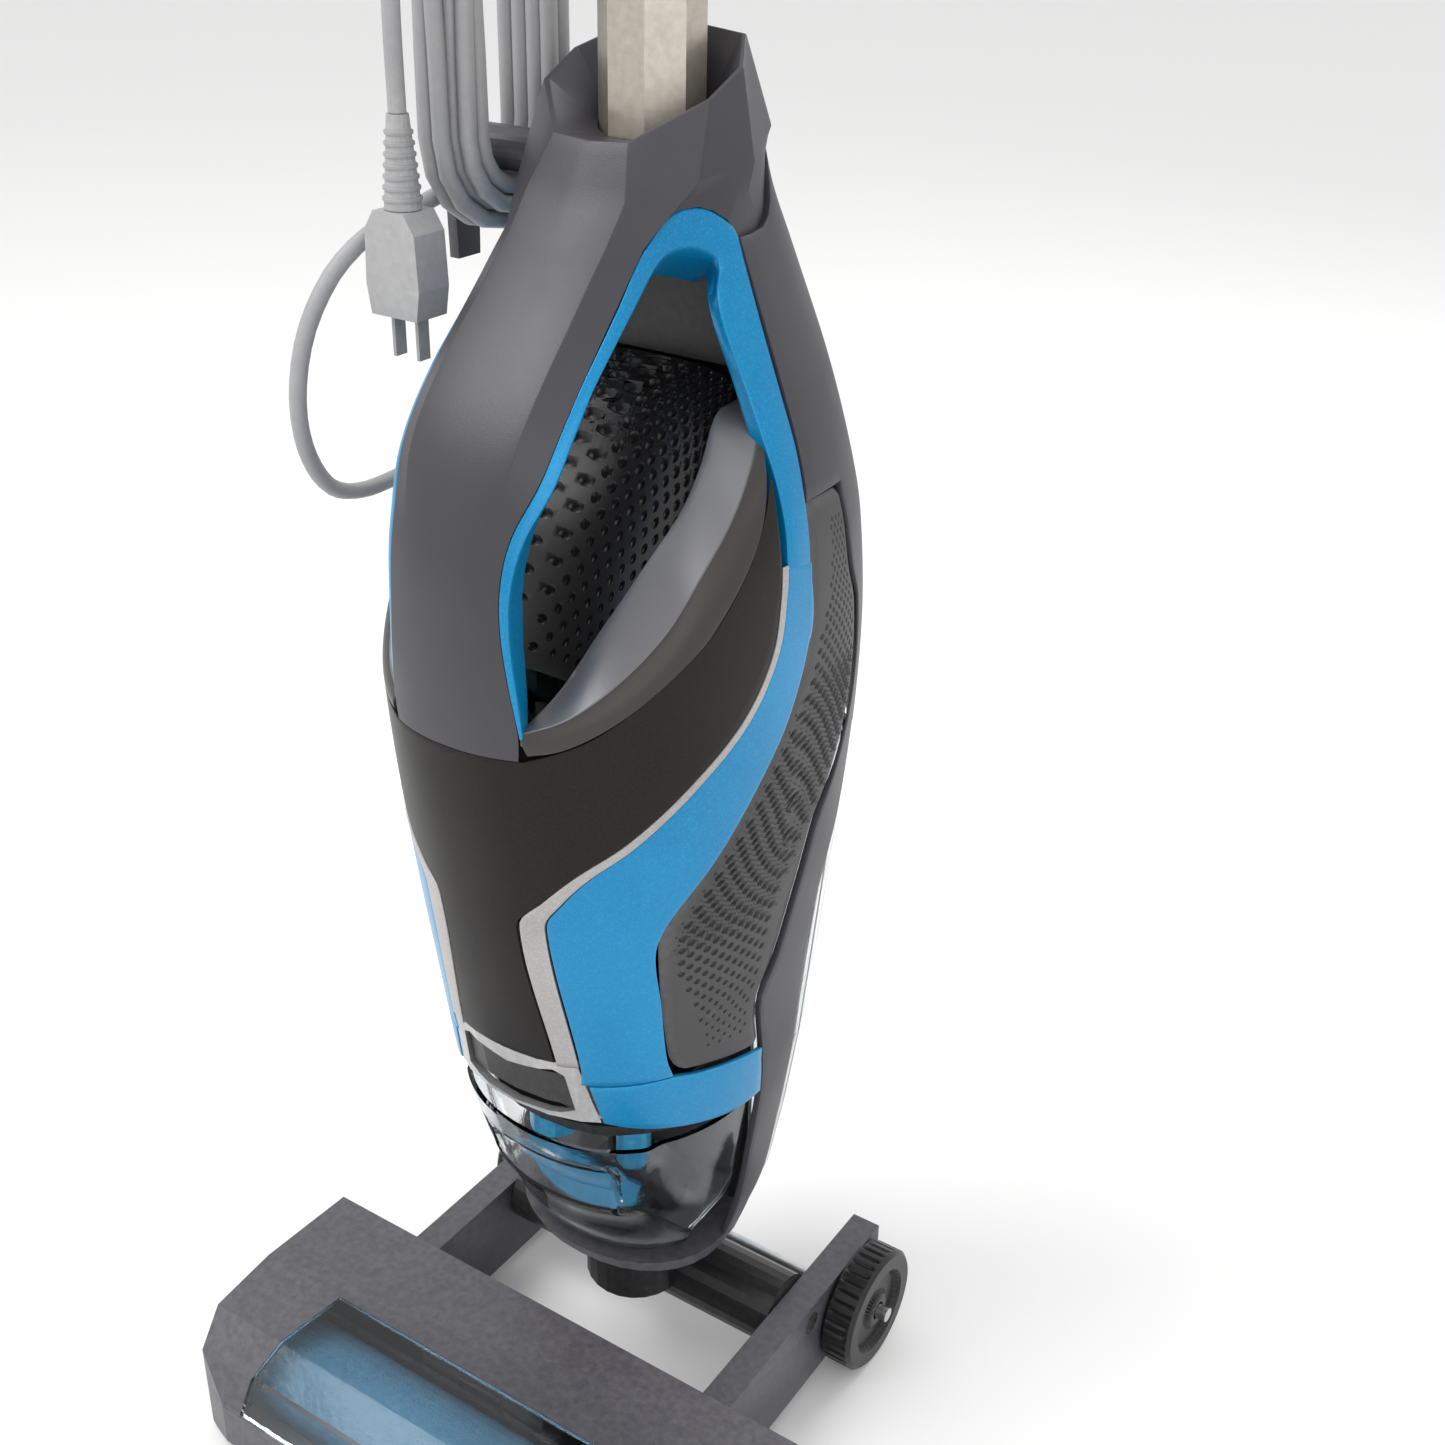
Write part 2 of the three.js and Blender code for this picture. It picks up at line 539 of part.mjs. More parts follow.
let grip = sideCut(gripOutline, -gripHalf, gripHalf).subtract(sideCut(gripHole, -60, 60))
  .subtract(poleHole(gap, poleTop - 25, poleTop + 1)).subtract(triggerSlot);
for (const [name, [y, z]] of Object.entries(buttonSpots)) {
  const lean = name === 'power' ? -0.62 : -0.28;
  const wellRadius = buttonRadius + slack;
  const well = turned([[0, -9], [wellRadius, -9], [wellRadius, 20], [0, 20]], 20, 0, 0, 0);
  const knob = turned([[0, -3], [buttonRadius, -3], [buttonRadius, 3.4], [buttonRadius - 1.6, 4.6],
    [0, 4.8]], 20, 0, 0, 0);
  const turn = (-lean * 180) / Math.PI;
  grip = grip.subtract(well.rotate([-turn, 0, 0]).translate([0, y + yAxis - 17, z]));
  place(`${name}_button`, knob.rotate([-turn, 0, 0]).translate([0, y + yAxis - 17, z]),
    name === 'power' ? blue : satinGrey);
}
place('grip', grip, charcoal);
place('spray_trigger', prismX(shift(triggerOutline), -triggerHalf, triggerHalf), blue);

// Cord hooks on the left side of the upright: the lower one is fixed,
// the upper one turns to drop the cord.
const hookY = yAxis - 10;
const hookOuterX = hankX - hankThick / 2 - 3;
function hook(z, up, footX) {
  const reach = hankHalf + 6;
  const post = rodX(hookRadius, hookOuterX + 1, footX, hookY, z);
  const blade = prismX([[hookY - 9, z - 9 * up], [hookY + 9, z - 9 * up], [hookY + 7, z + reach * up],
    [hookY - 7, z + reach * up]], hookOuterX - 4, hookOuterX + 1);
  return post.add(blade);
}
place('cord_hook_upper', hook(hookHighZ, 1, -poleHalfX - 8), charcoal);
place('hook_collar', poleHole(6, hookHighZ - 17, hookHighZ + 17)
  .subtract(poleHole(gap, hookHighZ - 20, hookHighZ + 20))
  .add(box(-poleHalfX - 8 + gap, -poleHalfX + 0, hookY - 12, hookY + 12, hookHighZ - 14, hookHighZ + 14)
    .subtract(poleHole(gap, hookHighZ - 20, hookHighZ + 20))), black);
place('cord_hook_lower', hook(hookLowZ, -1, -36).subtract(leaf(-gap)), charcoal);

// Mains cord: out of the housing beside the lower hook, wound on both hooks, ending in its plug.
const hankLow = hookLowZ - hookRadius - hankBand - 2;
const hankHigh = hookHighZ + hookRadius + hankBand + 2;
function stadium(half, low, high) {
  const points = [];
  for (let i = 0; i <= 8; i += 1) {
    const angle = Math.PI + (Math.PI * i) / 8;
    points.push([hookY + half * Math.cos(angle), low + half + half * Math.sin(angle)]);
  }
  for (let i = 0; i <= 8; i += 1) {
    const angle = (Math.PI * i) / 8;
    points.push([hookY + half * Math.cos(angle), high - half + half * Math.sin(angle)]);
  }
  return points;
}
const hank = prismX(stadium(hankHalf, hankLow, hankHigh), hankX - hankThick / 2, hankX + hankThick / 2)
  .subtract(prismX(stadium(hankHalf - hankBand, hankLow + hankBand, hankHigh - hankBand), hankX - 60,
  hankX + 60));
place('cord_hank', hank, rubber);

function tube(points, radius, sides, steps) {
  const outline = new THREE.Shape();
  for (let i = 0; i < sides; i += 1) {
    const angle = (2 * Math.PI * i) / sides;
    outline[i ? 'lineTo' : 'moveTo'](radius * Math.cos(angle), radius * Math.sin(angle));
  }
  const path = new THREE.CatmullRomCurve3(points.map((p) => new THREE.Vector3(...p)));
  return toSolid(new THREE.ExtrudeGeometry(outline, { steps, extrudePath: path, bevelEnabled: false }));
}

const cordRadius = cordDiameter / 2;
const glandZ = 480;
const glandY = yAxis + 48;
const glandX = -78;
const glandLength = 26;
const plugX = hankX;
const plugY = -16;
const plugTop = 652;
const hankFace = hookY - hankHalf - gap - cordRadius;
const leadPoints = [[glandX - glandLength - 2 * gap, glandY, glandZ], [-110, 100, 480], [-119, 96, 479],
  [-125, 84, 476], [-125, 60, 473], [-120, 25, 474], [-111, -10, 484], [-103, -36, 508], [-101, -46, 536],
  [-100, -42, 564], [-98, -30, 586], [-95, -16, 599], [-90, -3, 606], [-86, 4, 610]];
const tailPoints = [[plugX, hankFace, 790], [plugX, -8, 760], [plugX, plugY + 2, 725],
  [plugX, plugY, 690], [plugX, plugY, plugTop + gap]];
place('cord_lead', tube(leadPoints, cordRadius, 8, 24), rubber);
place('cord_tail', tube(tailPoints, cordRadius, 8, 8), rubber);
place('cord_gland', toSolid(new THREE.LatheGeometry([[0, 0], [9, 0], [9, 4], [7, 6], [5, glandLength],
  [0, glandLength]]
  .map(([r, h]) => new THREE.Vector2(r, h)), 16).rotateZ(Math.PI / 2).translate(glandX, glandY, glandZ))
  .subtract(leaf(-gap)), rubber);
place('plug_strain_relief', turned([[0, -36], [7.5, -36], [4.4, 0], [0, 0]], 16, plugX, plugY, plugTop),
  rubber);
const pinAt = (dx) => box(plugX + dx - 0.8, plugX + dx + 0.8, plugY - 3.2, plugY + 3.2, plugTop - 96,
  plugTop - 70);
place('plug_body', prismY([[-12, -78], [12, -78], [14, -66], [13, -44], [8, -36 - gap], [-8, -36 - gap],
  [-13, -44],
  [-14, -66]].map(([x, z]) => [x + plugX, z + plugTop]), plugY - 9, plugY + 9).add(pinAt(-6.35))
  .add(pinAt(6.35)), rubber);

// Floor head: lower tray, top cover and clear window over the brush chamber.
const headBack = headFront + headDepth;
const splitZ = 34;
const headSide = (inset) => [[headFront + inset, floorGap + 5], [headFront + inset, 36],
  [headFront + 8 + inset, 54],
  [headFront + 26 + inset * 0.6, 67 - inset], [headFront + 62, headHeight - inset],
  [headBack - inset, headHeight - 2 - inset],
  [headBack - inset, floorGap + inset], [headFront + 6 + inset, floorGap + inset]];
const corner = 26;
const headPlan = (inset) => [[-headWidth / 2 + inset, headBack + 10],
  [-headWidth / 2 + inset, headFront + corner],
  [-headWidth / 2 + 6 + inset, headFront + 8 + inset], [-headWidth / 2 + corner, headFront + inset],
  [headWidth / 2 - corner, headFront + inset], [headWidth / 2 - 6 - inset, headFront + 8 + inset],
  [headWidth / 2 - inset, headFront + corner], [headWidth / 2 - inset, headBack + 10]];
const headBlock = (inset) => prismX(headSide(inset), -headWidth / 2 + inset, headWidth / 2 - inset)
  .intersect(prismZ(headPlan(inset), -5, 120));
const headShell = headBlock(0).subtract(headBlock(wall));
const chamber = box(-brushLength / 2 - 6, brushLength / 2 + 6, headFront + 8, brushY + brushRadius + 4,
  -5, splitZ + 10);
const windowBack = brushY + 18;
const armRoot = headBack + gap;
const rearArm = (side) => box(side > 0 ? armInnerX : -armInnerX - armWidth,
  side > 0 ? armInnerX + armWidth : -armInnerX,
  armRoot, armBack, floorGap + 6, armHeight).add(box(side > 0 ? armInnerX : -armInnerX - armWidth,
  side > 0 ? armInnerX + armWidth : -armInnerX, headBack - 14, armRoot + 1, floorGap + 1, splitZ));
let footBase = headShell.intersect(box(-200, 200, -200, headBack + 1, -5, splitZ))
  .subtract(chamber.intersect(box(-200, 200,
  -300, 200, -5, floorGap + wall + 1)));
for (const side of [-1, 1]) footBase = footBase.add(rearArm(side));
footBase = footBase.add(box(-132, 146, brushY + brushRadius + 4, brushY + brushRadius + 6.5,
  floorGap + 1, splitZ))
  .subtract(rodX(hingeRadius + gap, -200, 200, hingeY, hingeZ))
  .subtract(rodX(axleRadius + gap, -200, 200, wheelY, wheelRadius));
place('foot_base', footBase, charcoal);
const coverShell = headShell.intersect(box(-200, 200, -200, headBack + 1, splitZ + gap, 200));
const windowPlan = prismZ([[-112, headFront - 5], [112, headFront - 5], [98, windowBack],
  [-98, windowBack]], 0, 200);
place('foot_cover', coverShell.subtract(windowPlan), charcoal);
place('brush_window', coverShell.intersect(prismZ([[-112 + gap, headFront - 5],
  [112 - gap, headFront - 5],
  [98 - gap, windowBack - gap], [-98 + gap, windowBack - gap]], 0, 200)), clear);
place('squeegee', box(-120, 120, brushY + brushRadius + 8, brushY + brushRadius + 14, 0,
  floorGap - gap), rubber);

// Brush roll, its pulley, the belt and the motor that drives it.
const pulleyX = -brushLength / 2 - 9;
const motorAxisY = headBack - 21.5;
const motorAxisZ = 34;
let roll = rodX(brushRadius, -brushLength / 2, brushLength / 2, brushY, brushZ, 28);
place('brush_roll', roll.subtract(rodX(brushCoreRadius + gap, -300, 300, brushY, brushZ, 20)), fibre);
place('brush_core', rodX(brushCoreRadius, -brushLength / 2 - 2, brushLength / 2 + 2, brushY, brushZ, 20)
  .add(rodX(brushPulley, pulleyX - 3, pulleyX + 8, brushY, brushZ))
  .add(rodX(5, brushLength / 2, brushLength / 2 + 10, brushY, brushZ)), black);
place('brush_motor', rodX(18, -60, 20, motorAxisY, motorAxisZ), steel);
place('motor_pulley', rodX(2.5, pulleyX + 3, -60 - gap, motorAxisY, motorAxisZ)
  .add(rodX(motorPulley, pulleyX - 3, pulleyX + 3, motorAxisY, motorAxisZ)), steel);

function beltOutline(near, far) {
  const [dy, dz] = [motorAxisY - brushY, motorAxisZ - brushZ];
  const heading = Math.atan2(dz, dy);
  const spread = Math.acos((near - far) / Math.hypot(dy, dz));
  const points = [];
  for (let i = 0; i <= 10; i += 1) {
    const angle = heading + spread + ((2 * Math.PI - 2 * spread) * i) / 10;
    points.push([brushY + near * Math.cos(angle), brushZ + near * Math.sin(angle)]);
  }
  for (let i = 0; i <= 8; i += 1) {
    const angle = heading - spread + (2 * spread * i) / 8;
    points.push([motorAxisY + far * Math.cos(angle), motorAxisZ + far * Math.sin(angle)]);
  }
  return points;
}
const beltGap = 0.5;
const beltThick = 1.5;
place('drive_belt', prismX(beltOutline(brushPulley + beltGap + beltThick,
  motorPulley + beltGap + beltThick), pulleyX - 2.5, pulleyX + 2.5)
  .subtract(prismX(beltOutline(brushPulley + beltGap, motorPulley + beltGap), pulleyX - 5,
  pulleyX + 5)), rubber);

// Hinge, neck and wheels.
place('hinge_axle', rodX(hingeRadius, -armInnerX - armWidth, armInnerX + armWidth, hingeY, hingeZ),
  steel);
const neck = rodX(20, -armInnerX + 1, armInnerX - 1, hingeY, hingeZ)
  .add(rodZ(neckRadius, 0, neckY, hingeZ, neckTop))
  .add(rodZ(pinRadius, 0, neckY, neckTop - 1, 116))
  .subtract(rodX(hingeRadius + gap, -200, 200, hingeY, hingeZ));
place('neck_yoke', neck, black);
place('wheel_axle', rodX(axleRadius, -armInnerX - armWidth - wheelWidth - 6,
  armInnerX + armWidth + wheelWidth + 6, wheelY,
  wheelRadius), steel);
for (const [side, sign] of [['left', -1], ['right', 1]]) {
  const near = sign * (armInnerX + armWidth + 1);
  const far = near + sign * wheelWidth;
  const [x0, x1] = [Math.min(near, far), Math.max(near, far)];
  place(`wheel_${side}`, rodX(wheelRadius, x0, x1, wheelY, wheelRadius, 32)
    .subtract(rodX(axleRadius + gap, -200, 200, wheelY, wheelRadius)), black);
}

export default group;
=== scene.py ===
import math
from bisect import bisect_right
import bpy
from mathutils import Matrix, Vector


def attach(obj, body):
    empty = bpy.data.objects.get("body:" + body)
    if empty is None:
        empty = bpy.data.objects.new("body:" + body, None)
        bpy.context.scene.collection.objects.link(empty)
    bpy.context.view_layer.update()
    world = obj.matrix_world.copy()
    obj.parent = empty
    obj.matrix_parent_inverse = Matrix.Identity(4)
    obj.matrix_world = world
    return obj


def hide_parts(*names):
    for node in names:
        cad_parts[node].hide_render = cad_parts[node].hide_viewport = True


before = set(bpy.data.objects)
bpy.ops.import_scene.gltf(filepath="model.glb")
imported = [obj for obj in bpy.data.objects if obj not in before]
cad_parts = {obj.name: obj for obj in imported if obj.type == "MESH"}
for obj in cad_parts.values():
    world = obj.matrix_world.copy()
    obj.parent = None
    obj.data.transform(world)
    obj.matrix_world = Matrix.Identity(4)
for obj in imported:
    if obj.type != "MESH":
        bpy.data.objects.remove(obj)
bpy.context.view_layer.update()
poleY = 0.052   # the pole's axis behind the middle of the footprint
lineShift = 0.035   # the side lines are drawn with the pole axis at y = 0.017


# place in metres, turn, down and roll in degrees, lens and sensor in millimetres
camera = {"place": (0.4255, -0.5479, 0.7699), "turn": 32.7304, "down": 27.9706, "roll": 1.3595, "lens": 44.47,
          "sensor": 36}


def addCamera():
    turn, down, roll = (math.radians(camera[k]) for k in ("turn", "down", "roll"))
    towards = Vector((math.sin(turn) * math.cos(down), -math.cos(turn) * math.cos(down), math.sin(down)))
    level = Vector((math.cos(turn), math.sin(turn), 0))
    upright = towards.cross(level)
    right = level * math.cos(roll) + upright * math.sin(roll)
    up = upright * math.cos(roll) - level * math.sin(roll)
    bpy.ops.object.camera_add()
    cam = bpy.context.object
    cam.data.lens = camera["lens"]
    cam.data.sensor_width = camera["sensor"]
    matrix = Matrix((right, up, towards)).transposed().to_4x4()
    matrix.translation = Vector(camera["place"])
    cam.matrix_world = matrix
    bpy.context.scene.camera = cam


addCamera()
print("camera placed")


# small helpers for lines and meshes
def clearSelection():
    bpy.ops.object.select_all(action="DESELECT")


def makeActive(obj):
    clearSelection()
    obj.select_set(True)
    bpy.context.view_layer.objects.active = obj


def blendOf(a, b, t):
    return a + (b - a) * t


def easeOf(low, high, value):
    t = min(max((value - low) / (high - low), 0), 1)
    return t * t * (3 - 2 * t)


def curveBetween(a, slopeA, b, slopeB, k):
    # from a to b with a slope at each end, k from 0 to 1
    return (a * (2 * k ** 3 - 3 * k ** 2 + 1) + slopeA * (k ** 3 - 2 * k ** 2 + k)
            + b * (3 * k ** 2 - 2 * k ** 3) + slopeB * (k ** 3 - k ** 2))


def alongCorners(corners, t):
    # a point on straight lines from corner to corner, each line taking the same share of t
    k = t * (len(corners) - 1)
    i = min(int(k), len(corners) - 2)
    return blendOf(corners[i], corners[i + 1], k - i)


def alongLine(points, t):
    # a point on the smooth line through the points, t from 0 to 1 by length
    points = [Vector(p) for p in points]
    lengths = [0]
    for a, b in zip(points, points[1:]):
        lengths.append(lengths[-1] + (b - a).length)
    s = min(max(t, 0), 1) * lengths[-1]
    last = len(points) - 1
    i = min(bisect_right(lengths, s) - 1, last - 1)
    step = lengths[i + 1] - lengths[i]
    k = (s - lengths[i]) / step

    def slope(j):
        low, high = max(j - 1, 0), min(j + 1, last)
        return (points[high] - points[low]) / (lengths[high] - lengths[low])

    return curveBetween(points[i], slope(i) * step, points[i + 1], slope(i + 1) * step, k)


def pointsAlong(line, count):
    # the smooth line cut into a number of equal steps
    return [alongLine(line, i / count) for i in range(count + 1)]


def besideLine(line, distance):
    # the line moved to its left-hand side
    moved = []
    for i, (y, z) in enumerate(line):
        a, b = line[max(i - 1, 0)], line[min(i + 1, len(line) - 1)]
        length = math.hypot(b[0] - a[0], b[1] - a[1])
        moved.append((y - (b[1] - a[1]) / length * distance, z + (b[0] - a[0]) / length * distance))
    return moved


def sheetOf(name, across, along, place):
    # a flat grid whose corners (u, v) are put where place says
    clearSelection()
    bpy.ops.mesh.primitive_grid_add(x_subdivisions=across, y_subdivisions=along, size=1)
    obj = bpy.context.object
    obj.name = obj.data.name = name
    for v in obj.data.vertices:
        v.co = place(v.co.x + 0.5, v.co.y + 0.5)
    return obj


def sheetOfRows(name, rows):
    # a sheet whose corners are the points of the rows
    across, along = len(rows[0]) - 1, len(rows) - 1
    return sheetOf(name, across, along, lambda u, v: rows[round(v * along)][round(u * across)])


def editAll(obj, step):
    makeActive(obj)
    bpy.ops.object.mode_set(mode="EDIT")
    bpy.ops.mesh.select_all(action="SELECT")
    step()
    bpy.ops.object.mode_set(mode="OBJECT")


def mergeSeams(obj, reach=0.00005):
    editAll(obj, lambda: bpy.ops.mesh.remove_doubles(threshold=reach))


def evenNormals(obj):
    editAll(obj, lambda: bpy.ops.mesh.normals_make_consistent(inside=False))


def faceOut(obj, middle=None):
    # turns the faces away from the pole's axis, or from the middle given
    total = 0
    for p in obj.data.polygons:
        centre = Vector((0, poleY, p.center.z)) if middle is None else Vector(middle)
        total += p.area * p.normal.dot(p.center - centre)
    if total < 0:
        editAll(obj, bpy.ops.mesh.flip_normals)


def applied(obj, kind, **values):
    makeActive(obj)
    modifier = obj.modifiers.new(kind.lower(), kind)
    for key, value in values.items():
        setattr(modifier, key, value)
    bpy.ops.object.modifier_apply(modifier=modifier.name)


def smoothed(obj, angle):
    makeActive(obj)
    bpy.ops.object.shade_smooth_by_angle(angle=math.radians(angle))


def softEdges(obj, width, steps, angle):
    applied(obj, "BEVEL", width=width, segments=steps, limit_method="ANGLE", angle_limit=math.radians(angle))


def walled(obj, wall, edge):
    # a wall of even thickness inside the sheet, its edges softened
    applied(obj, "SOLIDIFY", thickness=wall, offset=-1, use_even_offset=True, thickness_clamp=1)
    softEdges(obj, edge, 2, 35)
    smoothed(obj, 35)
    return obj


def joined(name, objects):
    clearSelection()
    for obj in objects:
        obj.select_set(True)
    bpy.context.view_layer.objects.active = objects[0]
    bpy.ops.object.join()
    objects[0].name = objects[0].data.name = name
    return objects[0]


def finished(obj, body, material, slot, *nodes):
    # a new piece's material, body and the nodes that it stands for; the slot is not used
    obj.data.materials.clear()
    obj.data.materials.append(material)
    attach(obj, body)
    if nodes:
        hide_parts(*nodes)


# materials
def addNode(tree, kind, **values):
    node = tree.nodes.new(kind)
    for key, value in values.items():
        if hasattr(node, key):
            setattr(node, key, value)
        else:
            node.inputs[key.replace("_", " ")].default_value = value
    return node


def newGroup(name, inputs, outputs):
    tree = bpy.data.node_groups.new(name, "ShaderNodeTree")
    for title, value in inputs:
        socket = tree.interface.new_socket(title, in_out="INPUT", socket_type="NodeSocketFloat")
        socket.default_value = value
    for title, kind in outputs:
        tree.interface.new_socket(title, in_out="OUTPUT", socket_type=kind)
    return tree, tree.nodes.new("NodeGroupInput"), tree.nodes.new("NodeGroupOutput")


def scaledNoise(tree, source, scaleSocket, detail):
    noise = addNode(tree, "ShaderNodeTexNoise", Detail=detail)
    tree.links.new(source.outputs["Object"], noise.inputs["Vector"])
    tree.links.new(scaleSocket, noise.inputs["Scale"])
    return noise


def mouldedGrain():
    # fine pebble left by the mould, plus slow waves of shrinkage
    tree, start, end = newGroup("mouldedGrain", [("Grain Scale", 2200), ("Grain Height", 1),
                                                 ("Wave Height", 1)],
                                [("Height", "NodeSocketFloat")])
    place = tree.nodes.new("ShaderNodeTexCoord")
    grain = scaledNoise(tree, place, start.outputs["Grain Scale"], 3)
    waves = addNode(tree, "ShaderNodeTexNoise", Scale=28, Detail=1)
    tree.links.new(place.outputs["Object"], waves.inputs["Vector"])
    fine = addNode(tree, "ShaderNodeMath", operation="MULTIPLY")
    slow = addNode(tree, "ShaderNodeMath", operation="MULTIPLY")
    total = addNode(tree, "ShaderNodeMath", operation="ADD")
    tree.links.new(grain.outputs["Fac"], fine.inputs[0])
    tree.links.new(start.outputs["Grain Height"], fine.inputs[1])
    tree.links.new(waves.outputs["Fac"], slow.inputs[0])
    tree.links.new(start.outputs["Wave Height"], slow.inputs[1])
    tree.links.new(fine.outputs[0], total.inputs[0])
    tree.links.new(slow.outputs[0], total.inputs[1])
    tree.links.new(total.outputs[0], end.inputs["Height"])
    return tree


def handledWear():
    # worn edges, and smears of handling and dust
    tree, start, end = newGroup("handledWear", [("Edge Low", 0.52), ("Edge High", 0.6), ("Smear Scale", 14)],
                                [("Edges", "NodeSocketFloat"), ("Smears", "NodeSocketFloat")])
    geometry = tree.nodes.new("ShaderNodeNewGeometry")
    place = tree.nodes.new("ShaderNodeTexCoord")
    edge = addNode(tree, "ShaderNodeMapRange")
    tree.links.new(geometry.outputs["Pointiness"], edge.inputs["Value"])
    tree.links.new(start.outputs["Edge Low"], edge.inputs["From Min"])
    tree.links.new(start.outputs["Edge High"], edge.inputs["From Max"])
    breaks = addNode(tree, "ShaderNodeTexNoise", Scale=260, Detail=4)
    tree.links.new(place.outputs["Object"], breaks.inputs["Vector"])
    worn = addNode(tree, "ShaderNodeMath", operation="MULTIPLY")
    tree.links.new(edge.outputs["Result"], worn.inputs[0])
    tree.links.new(breaks.outputs["Fac"], worn.inputs[1])
    smear = scaledNoise(tree, place, start.outputs["Smear Scale"], 6)
    ramp = addNode(tree, "ShaderNodeMapRange", From_Min=0.42, From_Max=0.68)
    tree.links.new(smear.outputs["Fac"], ramp.inputs["Value"])
    tree.links.new(worn.outputs[0], end.inputs["Edges"])
    tree.links.new(ramp.outputs["Result"], end.inputs["Smears"])
    return tree


grainGroup = mouldedGrain()
wearGroup = handledWear()


def groupIn(tree, group, **values):
    node = tree.nodes.new("ShaderNodeGroup")
    node.node_tree = group
    for key, value in values.items():
        node.inputs[key.replace("_", " ")].default_value = value
    return node


def mixedColor(tree, factor, a, b):
    mix = addNode(tree, "ShaderNodeMix", data_type="RGBA")
    tree.links.new(factor, mix.inputs["Factor"])
    for socket, value in (("A", a), ("B", b)):
        target = next(s for s in mix.inputs if s.name == socket and s.type == "RGBA")
        if isinstance(value, bpy.types.NodeSocket):
            tree.links.new(value, target)
        else:
            target.default_value = (*value, 1)
    return next(s for s in mix.outputs if s.type == "RGBA")


def newMaterial(name):
    material = bpy.data.materials.new(name)
    material.use_nodes = True
    tree = material.node_tree
    return material, tree, tree.nodes["Principled BSDF"]


def roughened(tree, mask, low, high):
    # roughness from low to high, as the mask says
    spread = addNode(tree, "ShaderNodeMapRange", To_Min=low, To_Max=high)
    tree.links.new(mask, spread.inputs["Value"])
    tree.links.new(spread.outputs["Result"], tree.nodes["Principled BSDF"].inputs["Roughness"])


def grained(tree, bump, depth, **grain):
    # the grain of the mould as a bump
    height = groupIn(tree, grainGroup, **grain)
    relief = addNode(tree, "ShaderNodeBump", Strength=bump, Distance=depth)
    tree.links.new(height.outputs["Height"], relief.inputs["Height"])
    tree.links.new(relief.outputs["Normal"], tree.nodes["Principled BSDF"].inputs["Normal"])


moulded = {"smear": 14, "darken": 0.86, "grainHeight": 1, "waveHeight": 0.6, "depth": 0.001}


def finishOf(name, color, rough, worn, grain=2200, bump=0.05, roughSpread=0.08, tint=None, **shader):
    # a moulded or painted finish: base colour with smears, worn edges, grain
    material, tree, principled = newMaterial(name)
    for key, value in shader.items():
        principled.inputs[key.replace("_", " ")].default_value = value
    wear = groupIn(tree, wearGroup, Smear_Scale=moulded["smear"])
    darker = tint or tuple(c * moulded["darken"] for c in color)
    dusted = mixedColor(tree, wear.outputs["Smears"], color, darker)
    tree.links.new(mixedColor(tree, wear.outputs["Edges"], dusted, worn), principled.inputs["Base Color"])
    roughened(tree, wear.outputs["Smears"], rough - roughSpread / 2, rough + roughSpread / 2)
    grained(tree, bump, moulded["depth"], Grain_Scale=grain, Grain_Height=moulded["grainHeight"],
            Wave_Height=moulded["waveHeight"])
    return material


flakes = {"scale": 1700, "from": 0.55}


def flaked(material, flake, amount):
    # metal flakes in a lacquer: specks that brighten the colour
    tree = material.node_tree
    principled = tree.nodes["Principled BSDF"]
    under = principled.inputs["Base Color"].links[0].from_socket
    place = tree.nodes.new("ShaderNodeTexCoord")
    cells = addNode(tree, "ShaderNodeTexVoronoi", Scale=flakes["scale"])
    tree.links.new(place.outputs["Object"], cells.inputs["Vector"])
    pick = addNode(tree, "ShaderNodeMapRange", From_Min=flakes["from"], To_Max=amount)
    tree.links.new(cells.outputs["Color"], pick.inputs["Value"])
    tree.links.new(mixedColor(tree, pick.outputs["Result"], under, flake), principled.inputs["Base Color"])
    return material


clearMoulding = {"ior": 1.4, "smear": 9, "darken": 0.95, "roughSpread": 0.06, "grain": 300,
                 "grainHeight": 0.1,
                 "waveHeight": 1, "depth": 0.002}


def clearPlastic(name, color, rough, bump):
    material, tree, principled = newMaterial(name)
    principled.inputs["Transmission Weight"].default_value = 1
    principled.inputs["IOR"].default_value = clearMoulding["ior"]
    wear = groupIn(tree, wearGroup, Smear_Scale=clearMoulding["smear"])
    darker = tuple(c * clearMoulding["darken"] for c in color)
    tree.links.new(mixedColor(tree, wear.outputs["Smears"], color, darker), principled.inputs["Base Color"])
    roughened(tree, wear.outputs["Smears"], rough, rough + clearMoulding["roughSpread"])
    grained(tree, bump, clearMoulding["depth"], Grain_Scale=clearMoulding["grain"],
            Grain_Height=clearMoulding["grainHeight"], Wave_Height=clearMoulding["waveHeight"])
    return material


